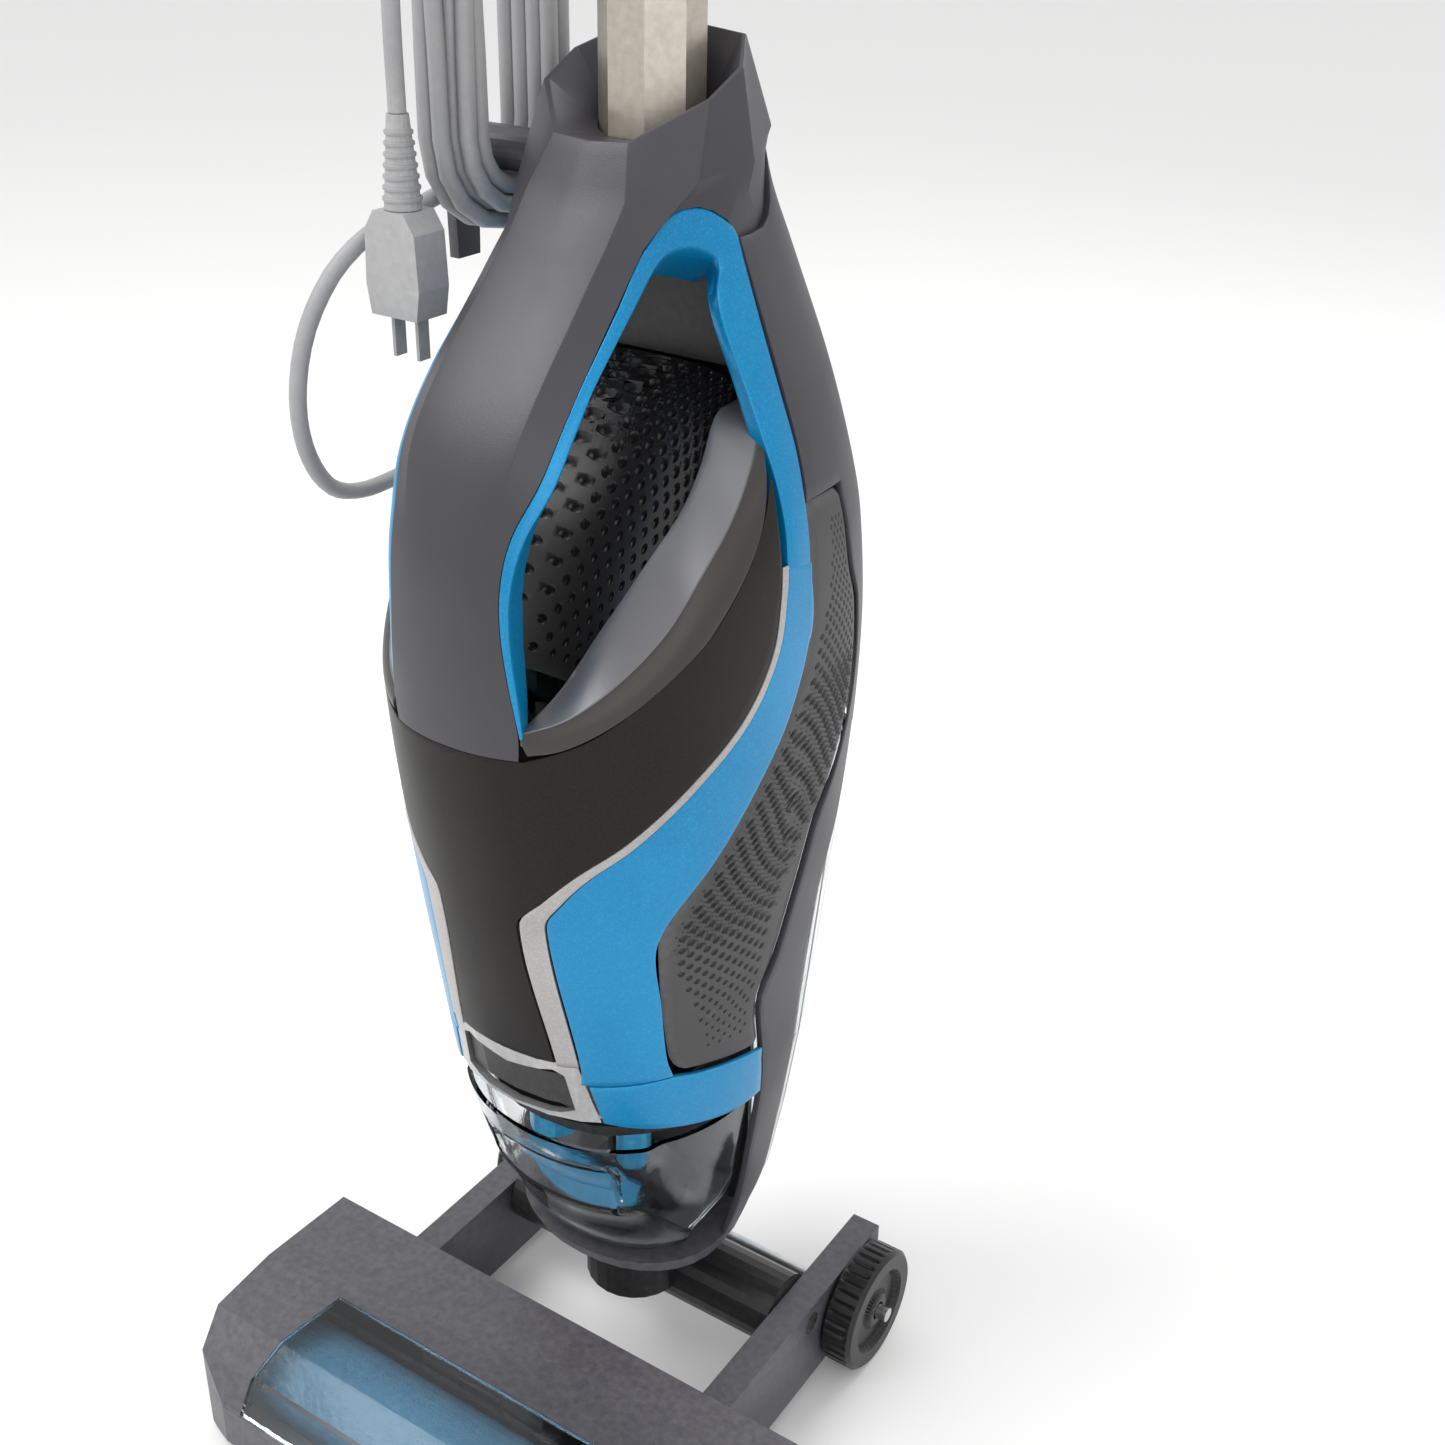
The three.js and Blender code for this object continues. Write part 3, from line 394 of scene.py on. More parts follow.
finishes = {
    "charcoal": finishOf("charcoalSatin", (0.038, 0.0365, 0.044), 0.44, (0.13, 0.125, 0.14), bump=0.12),
    "black": finishOf("blackSatin", (0.011, 0.0105, 0.011), 0.38, (0.05, 0.048, 0.048), bump=0.07,
                      Specular_IOR_Level=0.35),
    "gloss": flaked(finishOf("blackGlossPanel", (0.0095, 0.0078, 0.0072), 0.4, (0.04, 0.035, 0.032),
                             bump=0.03, Specular_IOR_Level=0.16, Coat_Weight=0.06, Coat_Roughness=0.25),
                    (0.03, 0.026, 0.024), 0.3),
    "smoke": finishOf("smokedBand", (0.036, 0.033, 0.031), 0.4, (0.1, 0.1, 0.1), bump=0.06,
                      Specular_IOR_Level=0.4),
    "recess": finishOf("recessBlack", (0.012, 0.0115, 0.0125), 0.36, (0.05, 0.05, 0.05), bump=0.1),
    "blue": flaked(finishOf("metallicBlue", (0.0, 0.215, 0.46), 0.34, (0.06, 0.42, 0.65), grain=3000,
                            bump=0.04,
                            tint=(0.0, 0.185, 0.41), Metallic=0.3, Specular_IOR_Level=0.3, Coat_Weight=0.25,
                            Coat_Roughness=0.15), (0.01, 0.38, 0.66), 0.45),
    "silver": flaked(finishOf("silverPaint", (0.4, 0.385, 0.38), 0.34, (0.6, 0.6, 0.6), bump=0.05,
                              Metallic=0.7),
                     (0.6, 0.59, 0.58), 0.5),
    "ledge": finishOf("satinGreyLedge", (0.15, 0.15, 0.158), 0.36, (0.34, 0.34, 0.36), bump=0.08,
                      Metallic=0.4),
    "inset": finishOf("gripInsetGrey", (0.045, 0.042, 0.043), 0.5, (0.13, 0.13, 0.135), grain=1500,
                      bump=0.22),
    "champagne": finishOf("champagnePole", (0.44, 0.385, 0.315), 0.33, (0.62, 0.58, 0.52), grain=900,
                          bump=0.05, Metallic=0.75),
    "steel": finishOf("plainSteel", (0.5, 0.51, 0.52), 0.3, (0.7, 0.7, 0.7), bump=0.08, Metallic=1),
    "rubber": finishOf("blackRubber", (0.022, 0.022, 0.023), 0.72, (0.06, 0.06, 0.06), grain=1200, bump=0.2),
    "cord": finishOf("greyCordSheath", (0.3, 0.3, 0.31), 0.55, (0.42, 0.42, 0.42), grain=900, bump=0.2),
    "white": finishOf("whitePlastic", (0.68, 0.68, 0.66), 0.45, (0.8, 0.8, 0.8), bump=0.08),
    "board": finishOf("greenBoard", (0.02, 0.13, 0.06), 0.45, (0.5, 0.4, 0.2), grain=500, bump=0.3),
    "fibre": finishOf("brushFibre", (0.03, 0.26, 0.46), 0.9, (0.2, 0.4, 0.55), grain=700, bump=0.9,
                      roughSpread=0.1),
    "clear": clearPlastic("clearTankPlastic", (0.86, 0.89, 0.91), 0.03, 0.25),
    "smokeClear": clearPlastic("clearWindowPlastic", (0.78, 0.83, 0.86), 0.05, 0.2),
}
# the finish of each node that keeps its own shape, and of the others until their new piece is made
nodeFinish = {
    "charcoal": ["foot_base", "foot_cover", "carry_handle", "spine_shell", "base_cap", "tank_catch", "grip",
                 "cord_hook_upper", "cord_hook_lower"],
    "black": ["brush_core", "wheel_left", "wheel_right", "neck_yoke", "front_panel", "tank_release_button",
              "chassis", "fan_housing", "water_pump", "dirty_tank_lid", "pole_socket", "hook_collar"],
    "recess": ["opening_back_wall", "grille_cover"],
    "blue": ["side_frame_left", "side_frame_right", "clean_tank_cap", "spray_trigger", "power_button",
             "float_cage", "inlet_tube", "tank_strainer"],
    "silver": ["pinstripe_left", "pinstripe_right", "latch_frame"],
    "ledge": ["crescent_ledge_left", "crescent_ledge_right", "mode_button"],
    "inset": ["grip_inset_left", "grip_inset_right"],
    "champagne": ["pole"],
    "steel": ["brush_motor", "motor_pulley", "hinge_axle", "wheel_axle", "vacuum_motor"],
    "rubber": ["squeegee", "drive_belt"],
    "cord": ["cord_hank", "cord_lead", "cord_tail", "cord_gland", "plug_strain_relief", "plug_body"],
    "white": ["fan_wheel", "float_ball"],
    "board": ["circuit_board"],
    "fibre": ["brush_roll"],
    "clear": ["dirty_tank", "clean_tank"],
    "smokeClear": ["brush_window"],
}
for finish, nodes in nodeFinish.items():
    for node in nodes:
        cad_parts[node].data.materials.clear()
        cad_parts[node].data.materials.append(finishes[finish])
print("finishes made and put on the nodes")


# mains cord: out of its gland, round a loop, wound on both hooks, down to the plug
cord = {
    "radius": 0.00375,
    "lead": [(-0.1046, 0.1, 0.48), (-0.11, 0.1, 0.48), (-0.1211, 0.0977, 0.4798), (-0.1308, 0.0912, 0.4785),
             (-0.1373, 0.0815, 0.4768), (-0.1396, 0.07, 0.4752), (-0.1385, 0.044, 0.4735),
             (-0.132, 0.01, 0.477), (-0.1215, -0.02, 0.49), (-0.112, -0.041, 0.514),
             (-0.1065, -0.0485, 0.54), (-0.103, -0.0445, 0.566), (-0.0995, -0.032, 0.587),
             (-0.0955, -0.0175, 0.5995), (-0.0905, -0.004, 0.6065), (-0.086, 0.0062, 0.6105)],
    "tail": [(-0.072, -0.00405, 0.79), (-0.072, -0.008, 0.76), (-0.072, -0.014, 0.725),
             (-0.072, -0.016, 0.69), (-0.072, -0.016, 0.6523)],
    "entry": [(-0.0838, 0.0225, 0.615)],
    "leave": [(-0.0702, 0.0025, 0.86), (-0.0716, -0.0005, 0.825)],
    "cells": {"lead": 40, "entry": 6, "leave": 10, "tail": 16},
    # the winding: the hooks' middle line and their heights
    "middle": 0.042, "lowHook": 0.64, "highHook": 0.892,
    # one row per turn: its place across the winding, and its radius round the hooks
    "turns": [(-0.08325, 0.0228), (-0.07575, 0.0228), (-0.06825, 0.0228), (-0.06075, 0.0228),
              (-0.06075, 0.0303), (-0.06825, 0.0303), (-0.07575, 0.0303), (-0.07575, 0.0378),
              (-0.06825, 0.0378)],
}


def windingPoints():
    # each turn goes under the lower hook, up the back, over the upper hook and down the front
    points = []
    low, high, middle = cord["lowHook"], cord["highHook"], cord["middle"]
    turns = cord["turns"]
    for k, (x, radius) in enumerate(turns):
        nextX, nextRadius = turns[min(k + 1, len(turns) - 1)]
        for i in range(0 if k else 1, 9):
            angle = math.pi * (1.5 + i / 16) if k == 0 else math.pi * (1 + i / 8)
            points.append((x, middle + radius * math.cos(angle), low + radius * math.sin(angle)))
        for i in range(1, 5):
            points.append((x, middle + radius, blendOf(low, high, i / 5)))
        for i in range(0, 9):
            angle = math.pi * i / 8
            points.append((x, middle + radius * math.cos(angle), high + radius * math.sin(angle)))
        if k == len(turns) - 1:
            break
        for i in range(1, 8):
            t = easeOf(0, 1, i / 8)
            points.append((blendOf(x, nextX, t), middle - blendOf(radius, nextRadius, t),
                           blendOf(high, low, i / 8)))
    return points


def cordCurve(name, points, radius):
    data = bpy.data.curves.new(name, "CURVE")
    data.dimensions = "3D"
    data.bevel_depth = radius
    data.bevel_resolution = 3
    data.use_fill_caps = True
    spline = data.splines.new("POLY")
    spline.points.add(len(points) - 1)
    for point, place in zip(spline.points, points):
        point.co = (*place, 1)
    obj = bpy.data.objects.new(name, data)
    bpy.context.scene.collection.objects.link(obj)
    return obj


def makeCord():
    cells = cord["cells"]
    lead = pointsAlong(cord["lead"], cells["lead"])
    wound = [Vector(p) for p in windingPoints()]
    tail = pointsAlong(cord["tail"], cells["tail"])
    entry = pointsAlong([lead[-1], *cord["entry"], wound[0]], cells["entry"])
    leave = pointsAlong([wound[-1], *cord["leave"], tail[0]], cells["leave"])
    points = lead[:-1] + entry[:-1] + wound[:-1] + leave[:-1] + tail
    length = sum((b - a).length for a, b in zip(points, points[1:]))
    return cordCurve("mainsCord", points, cord["radius"]), length


mainsCord, cordLength = makeCord()
finished(mainsCord, "upright", finishes["cord"], "rubber", "cord_hank", "cord_lead", "cord_tail")
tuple(cord["lead"][0])
print("cord wound:", round(cordLength, 3), "m")


# the leaf-shaped housing
# each station: height, half width, widest line, front and back (lineShift is added to the last three)
housing = {
    "stations": [(0.096, 0.056, 0.002, -0.044, 0.048), (0.13, 0.066, 0.002, -0.06, 0.074),
                 (0.17, 0.072, 0, -0.074, 0.084), (0.216, 0.078, -0.002, -0.087, 0.09),
                 (0.265, 0.08, 0, -0.097, 0.1), (0.35, 0.084, 0.005, -0.112, 0.112),
                 (0.428, 0.087, 0.009, -0.122, 0.112), (0.485, 0.087, 0.01, -0.124, 0.1),
                 (0.515, 0.082, 0.011, -0.12, 0.093), (0.553, 0.07, 0.012, -0.103, 0.086),
                 (0.6, 0.054, 0.014, -0.06, 0.07), (0.63, 0.045, 0.016, -0.032, 0.058),
                 (0.66, 0.04, 0.017, -0.022, 0.055), (0.69, 0.036, 0.018, -0.018, 0.054)],
    "frontPower": 2.2, "backPower": 2.8, "wall": 0.0026,
}
stations = housing["stations"]


def stationAt(z):
    # half width, widest line, front and back at a height
    i = min(max(bisect_right([s[0] for s in stations], z) - 1, 0), len(stations) - 2)
    low, high = stations[i], stations[i + 1]
    step = high[0] - low[0]
    k = min(max((z - low[0]) / step, 0), 1)

    def slope(j, n):
        a, b = stations[max(j - 1, 0)], stations[min(j + 1, len(stations) - 1)]
        return (b[n] - a[n]) / (b[0] - a[0])

    values = []
    for n in range(1, 5):
        values.append(curveBetween(low[n], slope(i, n) * step, high[n], slope(i + 1, n) * step, k))
    half, widest, front, back = values
    return half, widest + lineShift, front + lineShift, back + lineShift


def skinPoint(turn, z, inset=0.0):
    # turn is 0 at the right-hand widest line, -90 degrees at the front
    half, widest, front, back = stationAt(z)
    c, s = math.cos(turn), math.sin(turn)
    power = housing["frontPower"] if s < 0 else housing["backPower"]
    reach = widest - front if s < 0 else back - widest
    return Vector((math.copysign(abs(c) ** (2 / power), c) * (half - inset),
                   widest + math.copysign(abs(s) ** (2 / power), s) * (reach - inset), z))


def turnAt(point):
    # the turn of a side-line point (y, z) on the right-hand side
    half, widest, front, back = stationAt(point[1])
    y = point[0] + lineShift
    power = housing["frontPower"] if y < widest else housing["backPower"]
    reach = widest - front if y < widest else back - widest
    share = min(max((y - widest) / reach, -1), 1)
    return math.asin(math.copysign(abs(share) ** (power / 2), share))


def turnAtWidth(x, z):
    # the turn of a front point at x
    share = min(abs(x) / stationAt(z)[0], 1) ** (housing["frontPower"] / 2)
    turn = -math.acos(share)
    return turn if x >= 0 else -math.pi - turn


def onSkin(point, inset):
    return skinPoint(turnAt(point), point[1], inset)


def sided(place, side):
    # side is 1 on the right and -1 on the left
    return Vector((place[0] * side, place[1], place[2]))


turnReach = 0.1   # about how far a radian of turn is along the housing


def flattened(line):
    # a side line on the unrolled housing
    return [(turnAt(p) * turnReach, p[1]) for p in line]


def alongFlat(flat, t):
    point = alongLine(flat, t)
    return Vector((point[0] / turnReach, point[1]))


def skinPatch(name, lineA, lineB, across, along, side, inset=0.0):
    # a sheet on the housing between two side lines
    flatA, flatB = flattened(lineA), flattened(lineB)
    rows = {}

    def place(u, v):
        row = round(v * along)
        if row not in rows:
            rows[row] = alongFlat(flatA, v), alongFlat(flatB, v)
        turn, z = blendOf(*rows[row], u)
        return sided(skinPoint(turn, z, inset), side)

    obj = sheetOf(name, across, along, place)
    faceOut(obj)
    return obj


# the edges between the pieces, as side lines (y, z)
lines = {
    "rearLeg": [(0.0092, 0.484), (0.01, 0.448), (-0.003, 0.416), (-0.023, 0.39), (-0.045, 0.364)],
    "panelRear": [(-0.066, 0.34), (-0.0705, 0.325), (-0.066, 0.295), (-0.061, 0.262), (-0.0575, 0.2505)],
    "bandTop": [(-0.0848, 0.2498), (-0.07, 0.2498), (-0.0575, 0.2498), (-0.048, 0.2475), (-0.025, 0.2425),
                (-0.002, 0.237)],
    "bandBottom": [(-0.0785, 0.226), (-0.068, 0.2215), (-0.055, 0.218), (-0.04, 0.2145), (-0.022, 0.2105),
                   (0.001, 0.208)],
    "pin": [(-0.088, 0.262), (-0.104, 0.344), (-0.102, 0.357), (-0.096, 0.37), (-0.082, 0.383),
            (-0.057, 0.404), (-0.03, 0.426), (-0.014, 0.45), (-0.009, 0.477), (-0.0082, 0.4885)],
    "panelTop": [(-0.0202, 0.5106), (-0.0338, 0.493), (-0.0554, 0.4702), (-0.0832, 0.4496),
                 (-0.0995, 0.4373)],
    "insetFront": [(-0.044, 0.2495), (-0.0545, 0.2525), (-0.0602, 0.264), (-0.069, 0.326), (-0.066, 0.337),
                   (-0.046, 0.362), (-0.024, 0.388), (-0.004, 0.414), (0.0093, 0.447), (0.0093, 0.484),
                   (0.0065, 0.508)],
    "insetRear": [(-0.0035, 0.24), (-0.0075, 0.268), (0.0045, 0.286), (0.0205, 0.321), (0.0325, 0.348),
                  (0.0505, 0.371), (0.0635, 0.405), (0.0595, 0.447), (0.0475, 0.47), (0.0385, 0.507)],
    "stripRear": [(0.012, 0.104), (0.026, 0.136), (0.03, 0.178), (0.033, 0.239), (0.036, 0.262),
                  (0.042, 0.299), (0.062, 0.338), (0.072, 0.379), (0.076, 0.42), (0.072, 0.47),
                  (0.066, 0.53), (0.056, 0.6), (0.05, 0.632)],
    "stripFront": [(0.002, 0.104), (0.003, 0.15), (0.002, 0.206), (-0.0015, 0.236), (-0.0055, 0.268),
                   (0.0062, 0.2855), (0.0222, 0.3205), (0.0342, 0.3475), (0.0522, 0.3705), (0.0652, 0.405),
                   (0.0612, 0.447), (0.0492, 0.47), (0.0402, 0.503), (0.0395, 0.5085)],
    "flapFront": [(0.0095, 0.5095), (0.0105, 0.514), (0.0112, 0.537), (0.0088, 0.579), (0.0065, 0.612)],
}


def yAtHeight(line, z):
    # y of a side line at a height, straight between its points
    for (y0, z0), (y1, z1) in zip(line, line[1:]):
        if z0 <= z <= z1:
            return blendOf(y0, y1, (z - z0) / (z1 - z0)) if z1 > z0 else y0
    return line[0][0] if z < line[0][1] else line[-1][0]


def turnOnLine(line, z):
    return turnAt((yAtHeight(line, z), z))


# blue side frames: the arch with its front leg, the ribbon under the rear leg and the band
blueFrame = {
    # the front leg: outer edge (x, z), rim width, throat depth
    "leg": [(0.0322, 0.4385, 0.0012, 0.004), (0.0308, 0.45, 0.0022, 0.008), (0.0295, 0.4604, 0.0028, 0.01),
            (0.0273, 0.4812, 0.0034, 0.013), (0.0268, 0.4996, 0.004, 0.014),
            (0.0284, 0.5196, 0.0052, 0.015), (0.0337, 0.5388, 0.0058, 0.016),
            (0.0348, 0.5556, 0.0056, 0.018), (0.0345, 0.5713, 0.0054, 0.02)],
    # the rest: outer edge (turn, z), inner edge of the rim and its depth, throat and its depth
    "rest": [((-0.962, 0.5917), (-0.862, 0.5895, 0.002), (-0.83, 0.587, 0.024)),
             ((-0.885, 0.6105), (-0.745, 0.605, 0.0035), (-0.66, 0.596, 0.027)),
             ((-0.736, 0.6229), (-0.62, 0.61, 0.004), (-0.5, 0.596, 0.029)),
             ((-0.479, 0.6245), (-0.465, 0.6106, 0.004), (-0.28, 0.594, 0.029)),
             ((-0.27, 0.6205), (-0.315, 0.6068, 0.004), (-0.08, 0.5905, 0.029)),
             ((-0.14, 0.6145), (-0.272, 0.6015, 0.004), (-0.1, 0.594, 0.02)),
             ((-0.098, 0.606), (-0.277, 0.5905, 0.004), (-0.27, 0.5885, 0.008)),
             ((-0.051, 0.581), (-0.172, 0.5608, 0.004), (-0.169, 0.56, 0.008)),
             ((-0.011, 0.5398), (-0.132, 0.535, 0.0018), (-0.13, 0.5345, 0.007)),
             ((-0.009, 0.512), (-0.112, 0.5085, 0.0005), (-0.111, 0.508, 0.006)),
             ((-0.004, 0.484), (-0.112, 0.4865, 0.0), (-0.115, 0.486, 0.006))],
    "archCells": (16, 160), "ribbonCells": (18, 90), "bandCells": (8, 26),
    "ribbonFoot": (-0.0865, 0.2506), "ribbonTip": (-0.0088, 0.4875),
    # what is under the edge: the depth of the buried corner, of the outer corner and of the leg's rim
    "buried": 0.008, "outer": 0.0009, "legRim": 0.0006, "legSlant": 0.2,
}


def turnPast(turn, z, distance):
    # the turn a distance further round
    reach = (skinPoint(turn + 0.005, z) - skinPoint(turn - 0.005, z)).length / 0.01
    return turn + distance / reach


def byRow(rows, t):
    # a smooth value between rows, t counting rows
    last = len(rows) - 1
    i = min(int(t), last - 1)
    k = t - i

    def slope(j):
        a, b = max(j - 1, 0), min(j + 1, last)
        return (rows[b] - rows[a]) / (b - a)

    return curveBetween(rows[i], slope(i), rows[i + 1], slope(i + 1), k)


def archEdges():
    # the outer edge, the inner edge of the rim and the throat, from the foot of the front leg to the rear leg
    outer, rim, throat = [], [], []
    for x, z, wide, depth in blueFrame["leg"]:
        turn = turnAtWidth(x, z)
        inner, low = turnPast(turn, z, wide), z - wide * blueFrame["legSlant"]
        outer.append(Vector((turn, z, 0)))
        rim.append(Vector((inner, low, blueFrame["legRim"])))
        throat.append(Vector((inner, low, depth)))
    for outerPoint, rimPoint, throatPoint in blueFrame["rest"]:
        outer.append(Vector((*outerPoint, 0)))
        rim.append(Vector(rimPoint))
        throat.append(Vector(throatPoint))
    return outer, rim, throat


def makeArch(side):
    edges = archEdges()
    last = len(edges[0]) - 1

    def place(u, v):
        outer, rim, throat = (byRow(edge, v * last) for edge in edges)
        buried = outer + Vector((0, 0, blueFrame["buried"]))
        corners = [buried, outer + Vector((0, 0, blueFrame["outer"])), blendOf(outer, rim, 0.08),
                   blendOf(outer, rim, 0.92), blendOf(rim, throat, 0.08), blendOf(rim, throat, 0.5), throat,
                   throat + Vector((0, 0, 0.003)), buried]
        turn, z, inset = alongCorners(corners, u)
        return sided(skinPoint(turn, z, inset), side)

    arch = sheetOf("arch", *blueFrame["archCells"], place)
    mergeSeams(arch)
    evenNormals(arch)
    softEdges(arch, 0.0005, 2, 30)
    smoothed(arch, 40)
    return arch


def makeBlueFrame(side, sideName):
    front = [blueFrame["ribbonFoot"], *lines["pin"], blueFrame["ribbonTip"]]
    rear = list(reversed(lines["rearLeg"] + lines["panelRear"]))
    ribbon = walled(skinPatch("ribbon", front, rear, *blueFrame["ribbonCells"], side), housing["wall"],
                    0.0009)
    band = skinPatch("band", lines["bandBottom"], lines["bandTop"], *blueFrame["bandCells"], side)
    walled(band, housing["wall"], 0.0007)
    frameObj = joined(f"sideFrame{sideName}", [ribbon, band, makeArch(side)])
    finished(frameObj, "upright", finishes["blue"], "blue", f"side_frame_{sideName.lower()}")


pinstripe = {"near": 0.0003, "far": 0.0042, "cells": (4, 90), "proud": 0.0004, "wall": 0.002, "edge": 0.0005}


def makePinstripe(side, sideName):
    near, far = (besideLine(lines["pin"], pinstripe[k]) for k in ("near", "far"))
    obj = skinPatch(f"pinstripe{sideName}", near, far, *pinstripe["cells"], side, -pinstripe["proud"])
    walled(obj, pinstripe["wall"], pinstripe["edge"])
    finished(obj, "upright", finishes["silver"], "silver", f"pinstripe_{sideName.lower()}")


for frameSide, frameSideName in ((1, "Right"), (-1, "Left")):
    makeBlueFrame(frameSide, frameSideName)
    makePinstripe(frameSide, frameSideName)
print("blue frames and pinstripes made")


# black front panel, then the crescent ledges, each with a smoked band in front of it
frontPanel = {
    "bottom": 0.2633, "split": 0.428, "armCorner": (-0.1148, 0.428), "gap": 0.0046,
    # cells across a wing and across the middle, rows of the middle part and of a wing
    "wing": 16, "middle": 22, "rows": 60, "wingRows": 40, "edgeSteps": 160,
    "wingEdge": [(-0.0128, 0.4995), (-0.0115, 0.524)], "wingTip": (-0.0122, 0.5245),
}


def makeFrontPanel():
    # a middle part from the notch up to the arm, and a wing each side that reaches up to the ledge
    edge = pointsAlong(besideLine(lines["pin"], frontPanel["gap"]), frontPanel["edgeSteps"])
    split, wing, middle = frontPanel["split"], frontPanel["wing"], frontPanel["middle"]
    edgeTurn = turnOnLine(edge, split)
    share = (turnAt(frontPanel["armCorner"]) - edgeTurn) / (-math.pi / 2 - edgeTurn)
    cells = 2 * wing + middle

    def mainPlace(u, v):
        z = blendOf(frontPanel["bottom"], split, v)
        start = turnOnLine(edge, z)
        k = u * cells
        if k <= wing:
            w = share * k / wing
        elif k <= cells - wing:
            w = blendOf(share, 2 - share, (k - wing) / middle)
        else:
            w = 2 - share * (cells - k) / wing
        return skinPoint(blendOf(start, -math.pi / 2, w), z)

    main = sheetOf("panelMain", cells, frontPanel["rows"], mainPlace)
    upper = [p for p in edge if p[1] > split]
    wingEdge = [(yAtHeight(edge, split), split), *upper[::6], *frontPanel["wingEdge"]]
    wingTop = [frontPanel["armCorner"], *reversed(lines["panelTop"]), frontPanel["wingTip"]]
    flatEdge, flatTop = flattened(wingEdge), flattened(wingTop)
    wings = []
    for side in (1, -1):
        def wingPlace(u, v, side=side):
            turn, z = blendOf(alongFlat(flatEdge, v), alongFlat(flatTop, v), u)
            return sided(skinPoint(turn, z), side)
        wings.append(sheetOf("panelWing", wing, frontPanel["wingRows"], wingPlace))
    for part in (main, *wings):
        faceOut(part)
    obj = joined("frontPanel", [main, *wings])
    mergeSeams(obj, 0.0001)
    walled(obj, housing["wall"], 0.0006)
    finished(obj, "upright", finishes["gloss"], "black", "front_panel")


crescent = {
    # turn, height and depth along the top of the panel, the front edge of the ledge and its back edge
    "panel": [(-0.08, 0.545, 0.011), (-0.16, 0.5262, 0.0012), (-0.25, 0.5015, 0), (-0.47, 0.4702, 0),
              (-0.66, 0.4548, 0), (-0.86, 0.4422, 0), (-1.05, 0.434, 0), (-1.2, 0.4312, 0)],
    "front": [(-0.02, 0.55, 0.012), (-0.149, 0.534, 0.0065), (-0.298, 0.5131, 0.006),
              (-0.469, 0.4936, 0.006), (-0.614, 0.4753, 0.006), (-0.81, 0.4589, 0.005),
              (-1.023, 0.4463, 0.003), (-1.232, 0.44, 0.0012)],
    "back": [(-0.02, 0.5455, 0.024), (-0.164, 0.5428, 0.024), (-0.306, 0.5261, 0.024),
             (-0.441, 0.5121, 0.024), (-0.661, 0.4939, 0.024), (-0.877, 0.4734, 0.022),
             (-1.069, 0.453, 0.017), (-1.236, 0.4395, 0.008)],
    "bandCells": (8, 66), "bandBulge": 0.0012, "bandWall": 0.0012, "ledgeCells": (24, 72),
}


def makeLedge(side, sideName):
    panel, front, back = ([Vector(row) for row in crescent[k]] for k in ("panel", "front", "back"))
    last = len(panel) - 1

    def bandPlace(u, v):
        a, b = byRow(panel, v * last), byRow(front, v * last)
        turn, z, inset = blendOf(a, b, u)
        return sided(skinPoint(turn, z, inset - crescent["bandBulge"] * math.sin(math.pi * u)), side)

    band = sheetOf(f"ledgeBand{sideName}", *crescent["bandCells"], bandPlace)
    faceOut(band)
    walled(band, crescent["bandWall"], 0.0003)
    finished(band, "upright", finishes["smoke"], "black")

    def place(u, v):
        a, b = byRow(front, v * last), byRow(back, v * last)
        lower = Vector((0, -0.005, 0))
        step = Vector((0, 0.0004, 0.0003))
        corners = [a + lower, a, a + step, blendOf(a, b, 0.06) + step, blendOf(a, b, 0.5) + step, b + step,
                   b + Vector((0, -0.004, 0.003)), b + Vector((0, -0.012, 0.003)), a + lower]
        turn, z, inset = alongCorners(corners, u)
        return sided(skinPoint(turn, z, inset), side)

    def closeEnds():
        bpy.ops.mesh.select_all(action="DESELECT")
        bpy.ops.mesh.select_non_manifold()
        bpy.ops.mesh.fill_holes(sides=60)

    ledge = sheetOf(f"crescentLedge{sideName}", *crescent["ledgeCells"], place)
    mergeSeams(ledge)
    editAll(ledge, closeEnds)
    evenNormals(ledge)
    softEdges(ledge, 0.0006, 2, 40)
    smoothed(ledge, 40)
    finished(ledge, "upright", finishes["ledge"], "satin_grey", f"crescent_ledge_{sideName.lower()}")


makeFrontPanel()
makeLedge(1, "Right")
makeLedge(-1, "Left")
print("front panel and ledges made")


# charcoal spine shell with its side strips
spine = {
    "bottom": 0.104, "tankTop": 0.379, "flapLow": 0.5095, "top": 0.6118, "backRise": 0.031,
    "stripTop": 0.0398, "seam": 0.5085, "liftFrom": 0.53, "sunk": 0.0002, "wall": 0.0034,
    "flapCells": 5, "sideCells": 10, "backCells": 40, "row": 0.0055,
}


def spineEdge(turn):
    # the height of the top edge, which rises towards the back
    return spine["top"] + spine["backRise"] * easeOf(0, 0.8, math.sin(max(turn, 0)))


